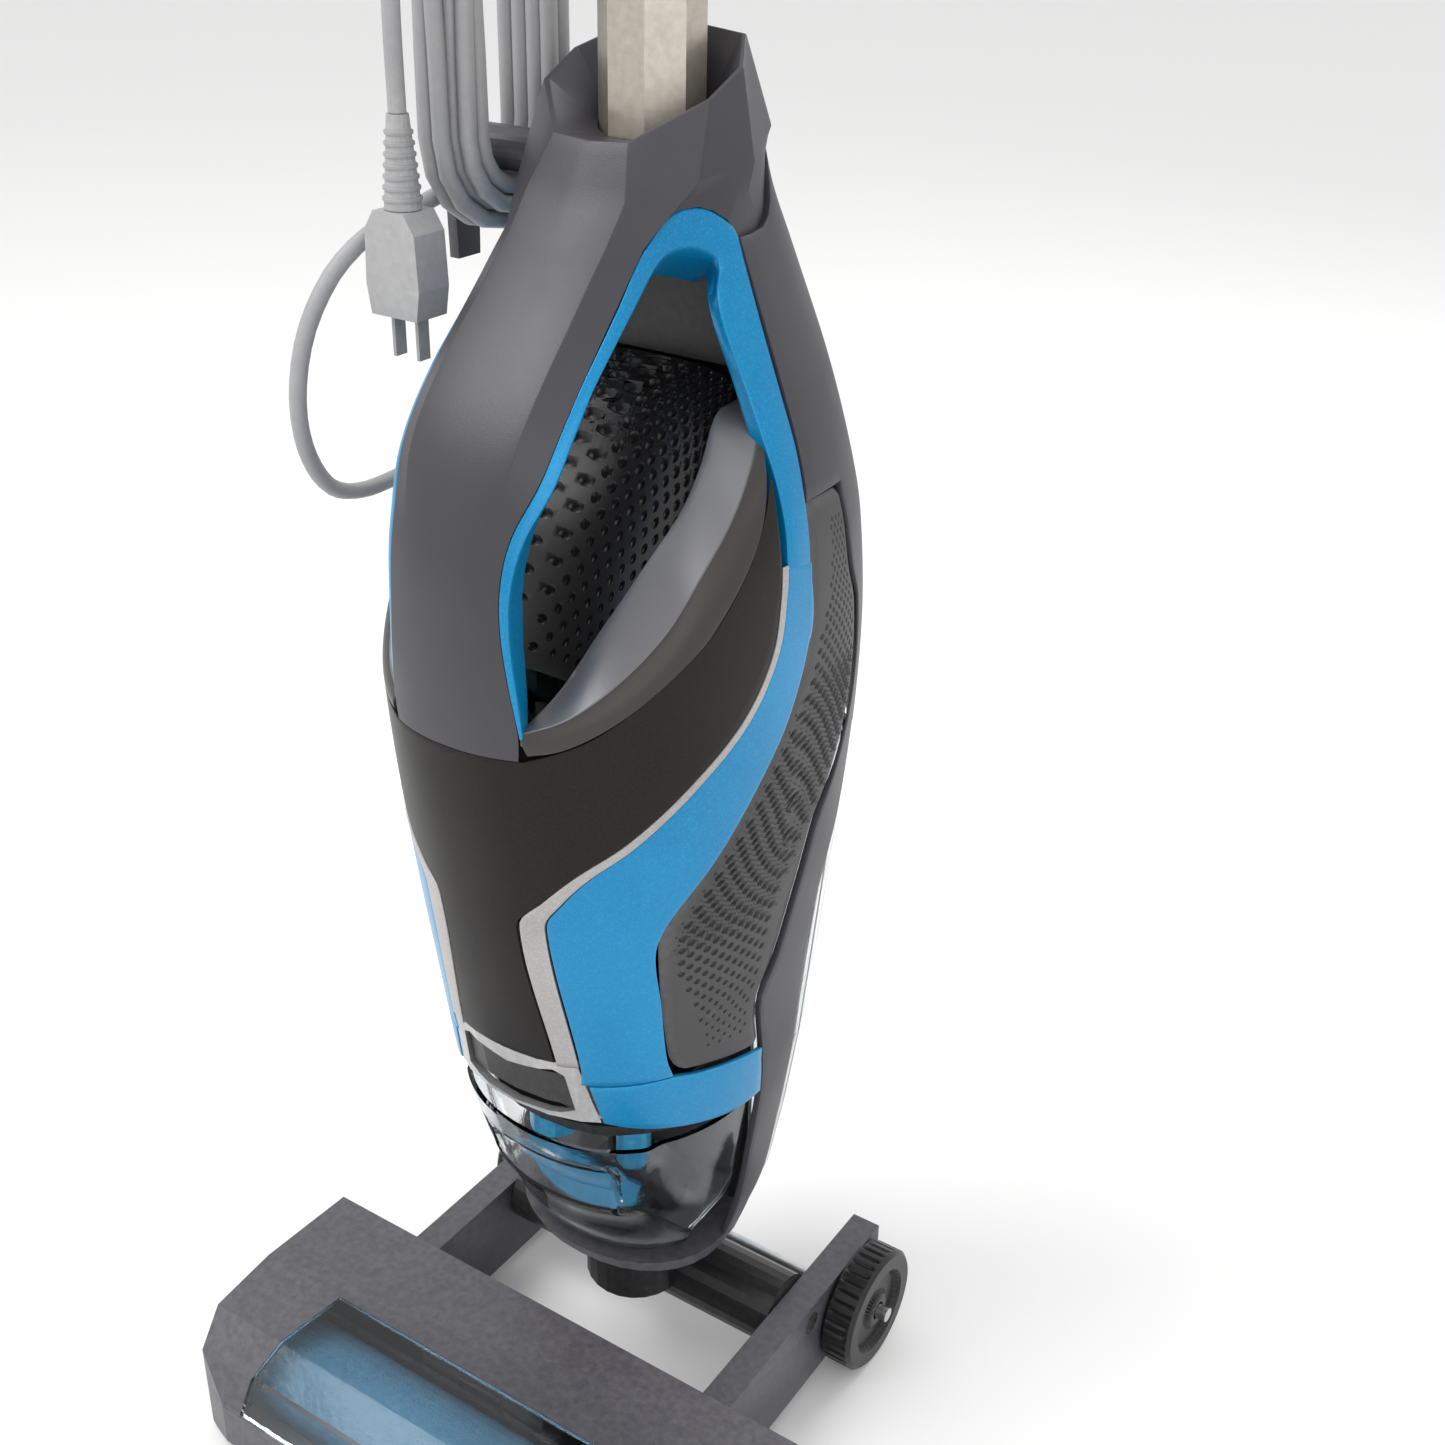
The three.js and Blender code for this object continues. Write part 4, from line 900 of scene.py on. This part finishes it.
def makeSpine():
    # columns: flap, strip, back, strip, flap; the back starts above the rear tank, the flaps above the insets
    def levels(low, high):
        count = round((spine[high] - spine[low]) / spine["row"])
        return [blendOf(spine[low], spine[high], i / count) for i in range(count)]

    heights = levels("bottom", "tankTop")
    lowRows = len(heights)
    heights += levels("tankTop", "flapLow")
    flapRow = len(heights)
    heights += levels("flapLow", "top") + [spine["top"]]
    rows = len(heights) - 1
    flap, strip, back = spine["flapCells"], spine["sideCells"], spine["backCells"]
    cells = 2 * (flap + strip) + back
    stripFront = pointsAlong(lines["stripFront"], 200)
    stripRear = pointsAlong(lines["stripRear"], 200)
    flapFront = pointsAlong(lines["flapFront"], 60)

    def place(u, v):
        z = heights[round(v * rows)]
        i = round(u * cells)
        k = min(i, cells - i)
        rear = turnOnLine(stripRear, z)
        front = turnOnLine(stripFront, z) if z < spine["seam"] else turnAt((spine["stripTop"], z))
        if k < flap:
            turn = blendOf(turnOnLine(flapFront, z), front, k / flap)
        elif k <= flap + strip:
            turn = blendOf(front, rear, (k - flap) / strip)
        else:
            turn = blendOf(rear, math.pi - rear, (i - flap - strip) / back)
        if k <= flap + strip and i > cells / 2:
            turn = math.pi - turn
        lift = (spineEdge(turn) - spine["top"]) * easeOf(spine["liftFrom"], spine["top"], z)
        return skinPoint(turn, z + lift, spine["sunk"])

    obj = sheetOf("spineShell", cells, rows, place)
    for p in obj.data.polygons:
        column, row = p.index % cells, p.index // cells
        edgeCell = min(column, cells - 1 - column)
        p.select = (row < lowRows and edgeCell >= flap + strip) or (row < flapRow and edgeCell < flap)
    for group in (obj.data.vertices, obj.data.edges):
        for item in group:
            item.select = False
    makeActive(obj)
    bpy.ops.object.mode_set(mode="EDIT")
    bpy.ops.mesh.select_mode(type="FACE")
    bpy.ops.mesh.delete(type="FACE")
    bpy.ops.mesh.select_mode(type="VERT")
    bpy.ops.object.mode_set(mode="OBJECT")
    faceOut(obj)
    walled(obj, spine["wall"], 0.0008)
    finished(obj, "upright", finishes["charcoal"], "charcoal", "spine_shell")


makeSpine()
print("spine shell made")


# dimpled sheets: the grip insets and the grille over the motor
# a dimple's sides, and the size and depth of its rings
dimple = {"sides": 8, "rings": ((1.0, 0.0), (0.86, 0.25), (0.72, 0.85), (0.35, 1.0))}


def dimpled(name, across, along, place, sizeAt, angle, faceMiddle=None):
    # every second cell, in a staggered order, holds a round dimple of the size and depth that sizeAt gives
    sides = dimple["sides"]
    verts, faces = [], []
    grid = {}

    def corner(i, j):
        if (i, j) not in grid:
            grid[i, j] = len(verts)
            verts.append(place(i / across, j / along, 0.0))
        return grid[i, j]

    for i in range(across):
        for j in range(along):
            size, depth = sizeAt((i + 0.5) / across, (j + 0.5) / along) if (i + j) % 2 == 0 else (0, 0)
            cell = [corner(i, j), corner(i + 1, j), corner(i + 1, j + 1), corner(i, j + 1)]
            if size <= 0:
                faces.append(cell)
                continue
            rings = []
            for reach, sink in dimple["rings"]:
                ring = []
                for k in range(sides):
                    bearing = 2 * math.pi * (k + 0.5) / sides - math.pi * 0.75
                    ring.append(len(verts))
                    verts.append(place((i + 0.5 + size * reach * math.cos(bearing)) / across,
                                       (j + 0.5 + size * reach * math.sin(bearing)) / along, depth * sink))
                rings.append(ring)
            first = rings[0]
            for q in range(4):
                a, b = first[2 * q], first[(2 * q + 1) % sides]
                c = first[(2 * q + 2) % sides]
                faces.append([cell[q], b, a])
                faces.append([cell[q], cell[(q + 1) % 4], c, b])
            for low, high in zip(rings, rings[1:]):
                for k in range(sides):
                    faces.append([low[k], low[(k + 1) % sides], high[(k + 1) % sides], high[k]])
            faces.append(rings[-1])
    mesh = bpy.data.meshes.new(name)
    mesh.from_pydata(verts, [], faces)
    mesh.update()
    obj = bpy.data.objects.new(name, mesh)
    bpy.context.scene.collection.objects.link(obj)
    evenNormals(obj)
    faceOut(obj, faceMiddle)
    smoothed(obj, angle)
    return obj


gripInset = {
    "across": 16, "along": 80, "sunk": 0.0012, "depth": 0.0012, "rounding": 0.0016, "wall": 0.002,
    # where the field of dimples starts across the inset: at its foot, in its middle and at its top
    "fieldStart": (0.4, 0.1, 0.45), "fieldEnd": 0.9, "fieldLow": 0.05, "fieldTop": 0.965,
}


def makeInset(side, sideName):
    front, rear = pointsAlong(lines["insetFront"], 200), pointsAlong(lines["insetRear"], 200)
    foot, middle, top = gripInset["fieldStart"]

    def place(u, v, depth):
        zA, zB = blendOf(front[0][1], front[-1][1], v), blendOf(rear[0][1], rear[-1][1], v)
        border = 1 - easeOf(0, 0.03, u) + easeOf(0.97, 1, u) + 1 - easeOf(0, 0.008, v) + easeOf(0.992, 1, v)
        turn = blendOf(turnOnLine(front, zA), turnOnLine(rear, zB), u)
        z = blendOf(zA, zB, u)
        return sided(skinPoint(turn, z, gripInset["sunk"] + gripInset["rounding"] * border + depth), side)

    def sizeAt(u, v):
        # the field of dimples leaves a plain border, is widest in the middle and fades towards both ends
        start = blendOf(foot, middle, easeOf(0.04, 0.3, v))
        if v >= 0.5:
            start = blendOf(middle, top, easeOf(0.7, 0.95, v))
        if u < start or u > gripInset["fieldEnd"] or v < gripInset["fieldLow"] or v > gripInset["fieldTop"]:
            return 0, 0
        fade = easeOf(0.02, 0.32, v) * (1 - 0.45 * easeOf(0.6, 0.95, v))
        return 0.3 + 0.26 * fade, gripInset["depth"] * (0.55 + 0.6 * fade)

    obj = dimpled(f"gripInset{sideName}", gripInset["across"], gripInset["along"], place, sizeAt, 50)
    applied(obj, "SOLIDIFY", thickness=gripInset["wall"], offset=-1)
    smoothed(obj, 50)
    finished(obj, "upright", finishes["inset"], "inset_grey", f"grip_inset_{sideName.lower()}")


grille = {
    "low": [(-0.0945, 0.441), (-0.074, 0.451), (-0.043, 0.473), (-0.002, 0.503), (0.026, 0.521)],
    "top": [(-0.0955, 0.447), (-0.084, 0.464), (-0.068, 0.492), (-0.042, 0.52), (-0.014, 0.542),
            (0.012, 0.552), (0.0265, 0.553)],
    "across": 44, "along": 27, "inset": 0.022, "depth": 0.003, "roundness": 0.62, "wall": 0.0015,
    "middle": (0, 0.01, 0.45),
}


def makeGrille():
    def place(u, v, depth):
        low, top = alongLine(grille["low"], v), alongLine(grille["top"], v)
        angle = math.pi * u
        c, s = math.cos(angle), math.sin(angle)
        edge, crown = (onSkin(point, grille["inset"] + depth) for point in (low, top))
        rise = abs(s) ** grille["roundness"]
        reach = blendOf(edge[0], crown[0], rise)
        point = blendOf(Vector((edge[1], edge[2])), Vector((crown[1], crown[2])), rise)
        wide = math.copysign(abs(c) ** grille["roundness"], c)
        return Vector((wide * reach, point[0], point[1] - depth * rise))

    def sizeAt(u, v):
        if v < 0.03 or v > 0.95:
            return 0, 0
        return 0.36 + 0.24 * easeOf(0.1, 0.85, v), grille["depth"] * blendOf(0.6, 1, v)

    obj = dimpled("grilleCover", grille["across"], grille["along"], place, sizeAt, 40,
                  grille["middle"])
    applied(obj, "SOLIDIFY", thickness=grille["wall"], offset=-1)
    smoothed(obj, 40)
    finished(obj, "upright", finishes["recess"], "black", "grille_cover")


makeInset(1, "Right")
makeInset(-1, "Left")
makeGrille()
print("insets and grille made")


# carry handle: the arm in front of the opening and the faceted collar round the pole
carryHandle = {
    # height of each row of the arm and how sharp its crease is
    "rows": [(0.4284, 0.0), (0.45, 0.0), (0.475, 0.05), (0.5, 0.25), (0.52, 0.6), (0.54, 0.9), (0.562, 1.0),
             (0.586, 1.0), (0.612, 1.0)],
    # the arm's side edge (x, z)
    "edge": [(0.0306, 0.424), (0.0318, 0.4385), (0.0308, 0.45), (0.0295, 0.4604), (0.0273, 0.4812),
             (0.0268, 0.4996), (0.0284, 0.5196), (0.0337, 0.5388), (0.0348, 0.5556), (0.0345, 0.5713),
             (0.0338, 0.5917), (0.0331, 0.6129)],
    "creaseShare": 0.7, "creaseBack": 0.0022, "crown": 2.4, "back": 0.011, "backCells": 16,
    # two rows of the collar: the middle of the front, the crease, the corner, then round to the back
    "shoulder": {"middle": (0, -0.0362, 0.6275), "crease": (0.0235, -0.0335, 0.6275),
                 "edge": (0.0425, -0.012, 0.6345),
                 "round": [(0.0468, 0.02, 0.6375), (0.0345, 0.0515, 0.646), (0, 0.0585, 0.65)]},
    "rim": {"middle": (0, -0.0252, 0.6465), "crease": (0.0175, -0.0235, 0.6475),
            "edge": (0.0395, -0.001, 0.6625),
            "round": [(0.0405, 0.02, 0.672), (0.028, 0.041, 0.681), (0, 0.0445, 0.683)]},
    # the top of the arch, which the collar's hem follows
    "arch": [(-0.035, 0.612), (-0.0279, 0.6187), (-0.0213, 0.6231), (-0.0102, 0.6248), (-0.002, 0.6212),
             (0.0042, 0.6155), (0.0064, 0.609)],
    # the hole for the pole: half widths, the height of its edge, its slope and how far it goes down
    "hole": (0.0228, 0.0188), "holeHeight": 0.6435, "holeSlope": 0.32, "holeDeep": 0.012,
}


armEdges = pointsAlong(carryHandle["edge"], 120)


def armRow(z, sharp):
    # right half of a row: edge, chamfer, crease, then to the middle
    edge = skinPoint(turnAtWidth(yAtHeight(armEdges, z), z), z)
    middle = skinPoint(-math.pi / 2, z)
    creaseX = edge[0] * carryHandle["creaseShare"]
    crease = blendOf(skinPoint(turnAtWidth(creaseX, z), z),
                     Vector((creaseX, middle[1] + carryHandle["creaseBack"], z)), sharp)
    points = []
    for i in range(5):
        straight = blendOf(edge, crease, i / 4)
        curved = skinPoint(turnAtWidth(straight[0], z), z)
        points.append(blendOf(curved, straight, sharp))
    for i in range(1, 7):
        t = i / 6
        x = crease[0] * (1 - t)
        crown = middle[1] + (crease[1] - middle[1]) * (1 - t) ** carryHandle["crown"]
        curved = skinPoint(turnAtWidth(x, z), z)
        points.append(Vector((x, blendOf(curved[1], crown, sharp), z)))
    return points


def collarPoint(point):
    return Vector(point) + Vector((0, lineShift, 0))


def collarRow(key):
    # right half of a row across the front facets
    edge, crease, middle = (collarPoint(carryHandle[key][k]) for k in ("edge", "crease", "middle"))
    points = [blendOf(edge, crease, i / 4) for i in range(5)]
    return points + [blendOf(crease, middle, i / 6) for i in range(1, 7)]


def ringRow(key):
    # right half of a row from the corner of the front facets round to the back
    row = carryHandle[key]
    ring = [collarPoint(p) for p in (row["edge"], *row["round"])]
    return [blendOf(a, b, i / 6) for a, b in zip(ring, ring[1:]) for i in range(6)] + [ring[-1]]


def hemRows():
    # the hem follows the top of the arch, then runs inside the top of the spine, and is tucked in
    arch = flattened(carryHandle["arch"])
    hem, tucked = [], []
    for i in range(6):
        turn, z = alongFlat(arch, i / 6)
        hem.append(skinPoint(turn, z))
        tucked.append(skinPoint(turn, z + 0.001, 0.004))
    start = turnAt(carryHandle["arch"][-1])
    for i in range(13):
        turn = blendOf(start, math.pi / 2, i / 12)
        z = spineEdge(turn)
        hem.append(skinPoint(turn, z - 0.004, spine["wall"]))
        tucked.append(skinPoint(turn, z - 0.014, spine["wall"]))
    return hem, tucked


def mirroredRow(points):
    return points + [sided(p, -1) for p in reversed(points[:-1])]


def rowBetween(low, high, share):
    return [blendOf(a, b, share) for a, b in zip(low, high)]


def makeArm():
    # the arm's front with the collar's facets above it, and its inner side, which the fingers close round
    rows = []
    base = carryHandle["rows"]
    for (z0, sharp0), (z1, sharp1) in zip(base, base[1:]):
        rows += [armRow(blendOf(z0, z1, i / 5), blendOf(sharp0, sharp1, i / 5)) for i in range(5)]
    rows.append(armRow(*base[-1]))
    arm = [mirroredRow(r) for r in rows]
    shoulder, rim = mirroredRow(collarRow("shoulder")), mirroredRow(collarRow("rim"))
    front = sheetOfRows("armFront", arm + [rowBetween(arm[-1], shoulder, i / 3) for i in range(1, 4)]
                        + [rowBetween(shoulder, rim, i / 4) for i in range(1, 5)])

    def backPlace(u, v):
        edge = arm[round(v * (len(arm) - 1))][0]
        depth = carryHandle["back"] * easeOf(-0.3, 0.25, math.sin(math.pi * u))
        x = blendOf(edge[0] - 0.002, -edge[0] + 0.002, u)
        return Vector((x, edge[1] + 0.002 + depth, edge[2]))

    return front, sheetOf("armBack", carryHandle["backCells"], len(arm) - 1, backPlace)


def makeCollar():
    # the rest of the collar, from the corners of the front facets round the back, and the funnel to the pole
    hem, tucked = hemRows()
    hem, tucked, shoulder, rim = (mirroredRow(r) for r in (hem, tucked, ringRow("shoulder"), ringRow("rim")))
    rows = [tucked] + [rowBetween(hem, shoulder, i / 3) for i in range(3)]
    rows += [rowBetween(shoulder, rim, i / 4) for i in range(5)]
    loop = mirroredRow(collarRow("rim")) + list(reversed(rim[1:-1]))
    halfX, halfY = carryHandle["hole"]
    centre = Vector((0, poleY, 0))

    def funnelPlace(u, v):
        outer = loop[round(u * len(loop)) % len(loop)]
        angle = math.atan2(outer[1] - centre[1], outer[0])
        inner = Vector((halfX * math.cos(angle), poleY + halfY * math.sin(angle), 0))
        inner[2] = carryHandle["holeHeight"] + (inner[1] - poleY + 0.019) * carryHandle["holeSlope"]
        lip = blendOf(outer, Vector((inner[0], inner[1], outer[2])), 0.1)
        path = [outer, lip, blendOf(lip, inner, 0.55), inner, inner - Vector((0, 0, carryHandle["holeDeep"]))]
        return alongCorners(path, v)

    side = sheetOfRows("collarSide", rows)
    funnel = sheetOf("funnel", len(loop), 8, funnelPlace)
    mergeSeams(funnel)
    return side, funnel


def makeHandle():
    obj = joined("carryHandle", [*makeArm(), *makeCollar()])
    mergeSeams(obj, 0.00012)
    evenNormals(obj)
    faceOut(obj)
    softEdges(obj, 0.0022, 4, 13)
    smoothed(obj, 30)
    finished(obj, "upright", finishes["charcoal"], "charcoal", "carry_handle")


makeHandle()
print("carry handle made")


# clear dirty-water tank with its finger pocket
dirtyTank = {
    "heights": [0.1085, 0.1095, 0.112, 0.118, 0.126, 0.134, 0.142, 0.15, 0.156, 0.16, 0.164, 0.168, 0.172,
                0.176, 0.18, 0.184, 0.188, 0.193, 0.198, 0.2035],
    "across": 96, "backCells": 24, "floorRows": 5, "wall": 0.0024, "footInset": 0.006, "footTop": 0.116,
    # how far back the sides reach, low down and above the step
    "backLow": -0.0262, "backHigh": -0.0012, "backStep": (0.126, 0.15),
    # how far inside the housing's line the sides and the lip are, and half the lip's width, low and high
    "side": 0.0045, "lip": 0.0008, "lipHalf": (0.046, 0.058), "lipBottom": 0.15, "lipTurns": (-2.84, -0.3),
    "pocketHalf": (0.036, 0.042), "pocket": (0.16, 0.184), "pocketDeep": 0.0085,
    "middleBack": 0.03, "middleHeight": 0.16,
}


def makeDirtyTank():
    heights, across, back = dirtyTank["heights"], dirtyTank["across"], dirtyTank["backCells"]

    low, top = dirtyTank["pocket"]

    def lipInset(turn, x, z, high):
        half = blendOf(*dirtyTank["lipHalf"], high)
        lip = (1 - easeOf(half - 0.004, half + 0.004, abs(x))) * easeOf(0.146, 0.152, z)
        first, last = dirtyTank["lipTurns"]
        return blendOf(dirtyTank["side"], dirtyTank["lip"], lip if first < turn < last else 0)

    def pocketInset(x, z, high):
        half = blendOf(*dirtyTank["pocketHalf"], high)
        share = (1 - easeOf(half - 0.004, half + 0.003, abs(x)))
        share *= easeOf(low - 0.003, low + 0.004, z) * (1 - easeOf(top - 0.003, top + 0.003, z))
        return dirtyTank["pocketDeep"] * share

    def place(u, v):
        z = heights[round(v * (len(heights) - 1))]
        column = round(u * (across + back))
        backY = blendOf(dirtyTank["backLow"], dirtyTank["backHigh"], easeOf(*dirtyTank["backStep"], z))
        start = turnAt((backY, z))
        foot = dirtyTank["footInset"] * (1 - easeOf(heights[0], dirtyTank["footTop"], z)) ** 2
        if column <= across:
            turn = blendOf(start, -math.pi - start, column / across)
            x = skinPoint(turn, z)[0]
            high = easeOf(dirtyTank["lipBottom"], 0.2, z)
            return skinPoint(turn, z, lipInset(turn, x, z, high) + pocketInset(x, z, high) + foot)
        side = skinPoint(-math.pi - start, z, dirtyTank["side"] + foot)
        other = skinPoint(start, z, dirtyTank["side"] + foot)
        return blendOf(side, other, (column - across) / back)

    shell = sheetOf("dirtyTankShell", across + back, len(heights) - 1, place)
    mergeSeams(shell)
    floorRows = [place(i / (across + back), 0) for i in range(across + back)]
    middle = Vector((0, sum(p[1] for p in floorRows) / len(floorRows), heights[0] + 0.0008))
    floor = sheetOf("dirtyTankFloor", across + back, dirtyTank["floorRows"],
                    lambda u, v: blendOf(place(u % 1, 0), middle, v * 0.98))
    obj = joined("dirtyTankShell", [shell, floor])
    mergeSeams(obj, 0.0001)
    faceOut(obj, (0, poleY - dirtyTank["middleBack"], dirtyTank["middleHeight"]))
    applied(obj, "SOLIDIFY", thickness=dirtyTank["wall"], offset=-1)
    smoothed(obj, 35)
    finished(obj, "front_tank", finishes["clear"], "clear", "dirty_tank")


makeDirtyTank()
print("dirty tank made")


def boundsOf(node):
    # the lowest and highest x, y and z of a node
    corners = [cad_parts[node].matrix_world @ Vector(c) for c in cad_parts[node].bound_box]
    return [(min(c[n] for c in corners), max(c[n] for c in corners)) for n in range(3)]


def turnedAlong(name, profile, centre, axis, around, along, grooves=0, grooveDepth=0.0, grooveZone=(0, 0)):
    # a profile of (along, radius) swept round an axis, with grooves across its tread
    lengths = [0]
    for a, b in zip(profile, profile[1:]):
        lengths.append(lengths[-1] + (Vector(b) - Vector(a)).length)

    def place(u, v):
        at = v * lengths[-1]
        i = min(max(bisect_right(lengths, at) - 1, 0), len(profile) - 2)
        k = (at - lengths[i]) / (lengths[i + 1] - lengths[i])
        reach, radius = blendOf(Vector(profile[i]), Vector(profile[i + 1]), min(k, 1))
        angle = 2 * math.pi * u
        if grooves and grooveZone[0] < reach < grooveZone[1]:
            radius -= grooveDepth * easeOf(0.55, 0.9, math.cos(grooves * angle))
        c, s = math.cos(angle) * radius, math.sin(angle) * radius
        return centre + Vector((reach, c, s) if axis == "X" else (c, s, reach))

    obj = sheetOf(name, around, along, place)
    mergeSeams(obj, 0.00002)
    evenNormals(obj)
    return obj


wheel = {"rim": 0.024, "hub": 0.0085, "bore": 0.0048, "dish": 0.0035, "shoulder": 0.002, "around": 288,
         "along": 60,
         "grooves": 36, "grooveDepth": 0.0012, "grooveGap": 0.0025}


def makeWheel(sideName, outward):
    node = f"wheel_{sideName.lower()}"
    (x0, x1), (y0, y1), (z0, z1) = boundsOf(node)
    half, radius = (x1 - x0) / 2, (z1 - z0) / 2
    centre = Vector(((x0 + x1) / 2, (y0 + y1) / 2, (z0 + z1) / 2))
    rim, hub, bore, dish, shoulder = (wheel[k] for k in ("rim", "hub", "bore", "dish", "shoulder"))
    # inner face, tyre, then the outer face with a dished rim and a hub
    profile = [(-half, bore), (-half, radius - shoulder), (-half + shoulder, radius),
               (half - shoulder, radius), (half, radius - shoulder), (half, rim),
               (half - 0.0008, rim - 0.0006), (half - dish, rim - 0.002), (half - dish, hub + 0.003),
               (half - 0.001, hub), (half - 0.001, bore), (-half, bore)]
    profile = [(reach * outward, r) for reach, r in profile]
    zone = (-half + wheel["grooveGap"], half - wheel["grooveGap"])
    obj = turnedAlong(f"Wheel{sideName}Tyre", profile, centre, "X", wheel["around"], wheel["along"],
                      wheel["grooves"], wheel["grooveDepth"], zone)
    smoothed(obj, 32)
    finished(obj, f"wheel_{sideName[0].lower()}", finishes["black"], "black", node)


makeWheel("Left", -1)
makeWheel("Right", 1)
print("wheels made")

# ribs on the plug's strain relief
plugRibs = {"first": 0.004, "step": 0.0042, "count": 7, "height": 0.0008, "half": 0.0011, "topRadius": 0.0044}


def makePlugRibs():
    (x0, x1), (y0, y1), (z0, z1) = boundsOf("plug_strain_relief")
    centre = Vector(((x0 + x1) / 2, (y0 + y1) / 2, z0))
    half, height = plugRibs["half"], plugRibs["height"]
    ribs = []
    for i in range(plugRibs["count"]):
        at = plugRibs["first"] + i * plugRibs["step"]
        radius = blendOf((x1 - x0) / 2, plugRibs["topRadius"], at / (z1 - z0))
        profile = [(at - half, radius - 0.0006), (at - half * 0.6, radius + height),
                   (at + half * 0.6, radius + height), (at + half, radius - 0.0008),
                   (at - half, radius - 0.0006)]
        ribs.append(turnedAlong(f"plugRib{i}", profile, centre, "Z", 40, 10))
    obj = joined("plugRibs", ribs)
    smoothed(obj, 50)
    finished(obj, "upright", finishes["cord"], "rubber")


makePlugRibs()
print("plug ribs made")

# soft edges on the pieces kept as they are
softNodes = {
    0.0022: ["grip", "foot_cover"],
    0.001: ["foot_base", "plug_body", "cord_hook_upper", "cord_hook_lower", "hook_collar", "neck_yoke",
            "base_cap", "latch_frame", "tank_release_button", "brush_window"],
    0.0005: ["pole", "spray_trigger", "power_button", "mode_button", "clean_tank_cap", "dirty_tank_lid",
             "tank_catch"],
}
for width, nodes in softNodes.items():
    for node in nodes:
        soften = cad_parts[node].modifiers.new("soften", "BEVEL")
        soften.width = width
        soften.segments = 3
        soften.limit_method = "ANGLE"
        soften.angle_limit = math.radians(32)
print("kept pieces softened")


# floor and light
studio = {"floor": (0.86, 0.86, 0.855), "world": 0.9, "key": 42, "fill": 16, "rim": 14}


def makeStudio():
    clearSelection()
    bpy.ops.mesh.primitive_plane_add(size=60)
    floor = bpy.context.object
    floor.name = "studioFloor"
    floor.data.materials.append(finishOf("studioFloor", studio["floor"], 0.9, studio["floor"], bump=0.01,
                                         tint=studio["floor"]))
    world = bpy.data.worlds.new("softRoom")
    bpy.context.scene.world = world
    world.use_nodes = True
    world.node_tree.nodes["Background"].inputs["Color"].default_value = (1, 1, 1, 1)
    world.node_tree.nodes["Background"].inputs["Strength"].default_value = studio["world"]
    for name, place, size, power in (("key", (-1.1, -1.0, 2.6), 1.4, studio["key"]),
                                     ("fill", (1.9, -1.6, 1.5), 2.0, studio["fill"]),
                                     ("rim", (0.4, 2.0, 2.0), 1.2, studio["rim"])):
        bpy.ops.object.light_add(type="AREA", location=place)
        lamp = bpy.context.object
        lamp.name = name
        lamp.data.size = size
        lamp.data.energy = power
        lamp.rotation_euler = (Vector((0, 0, 0.5)) - Vector(place)).to_track_quat("-Z", "Y").to_euler()


makeStudio()
bpy.context.scene.view_settings.view_transform = "Standard"
print("studio ready")
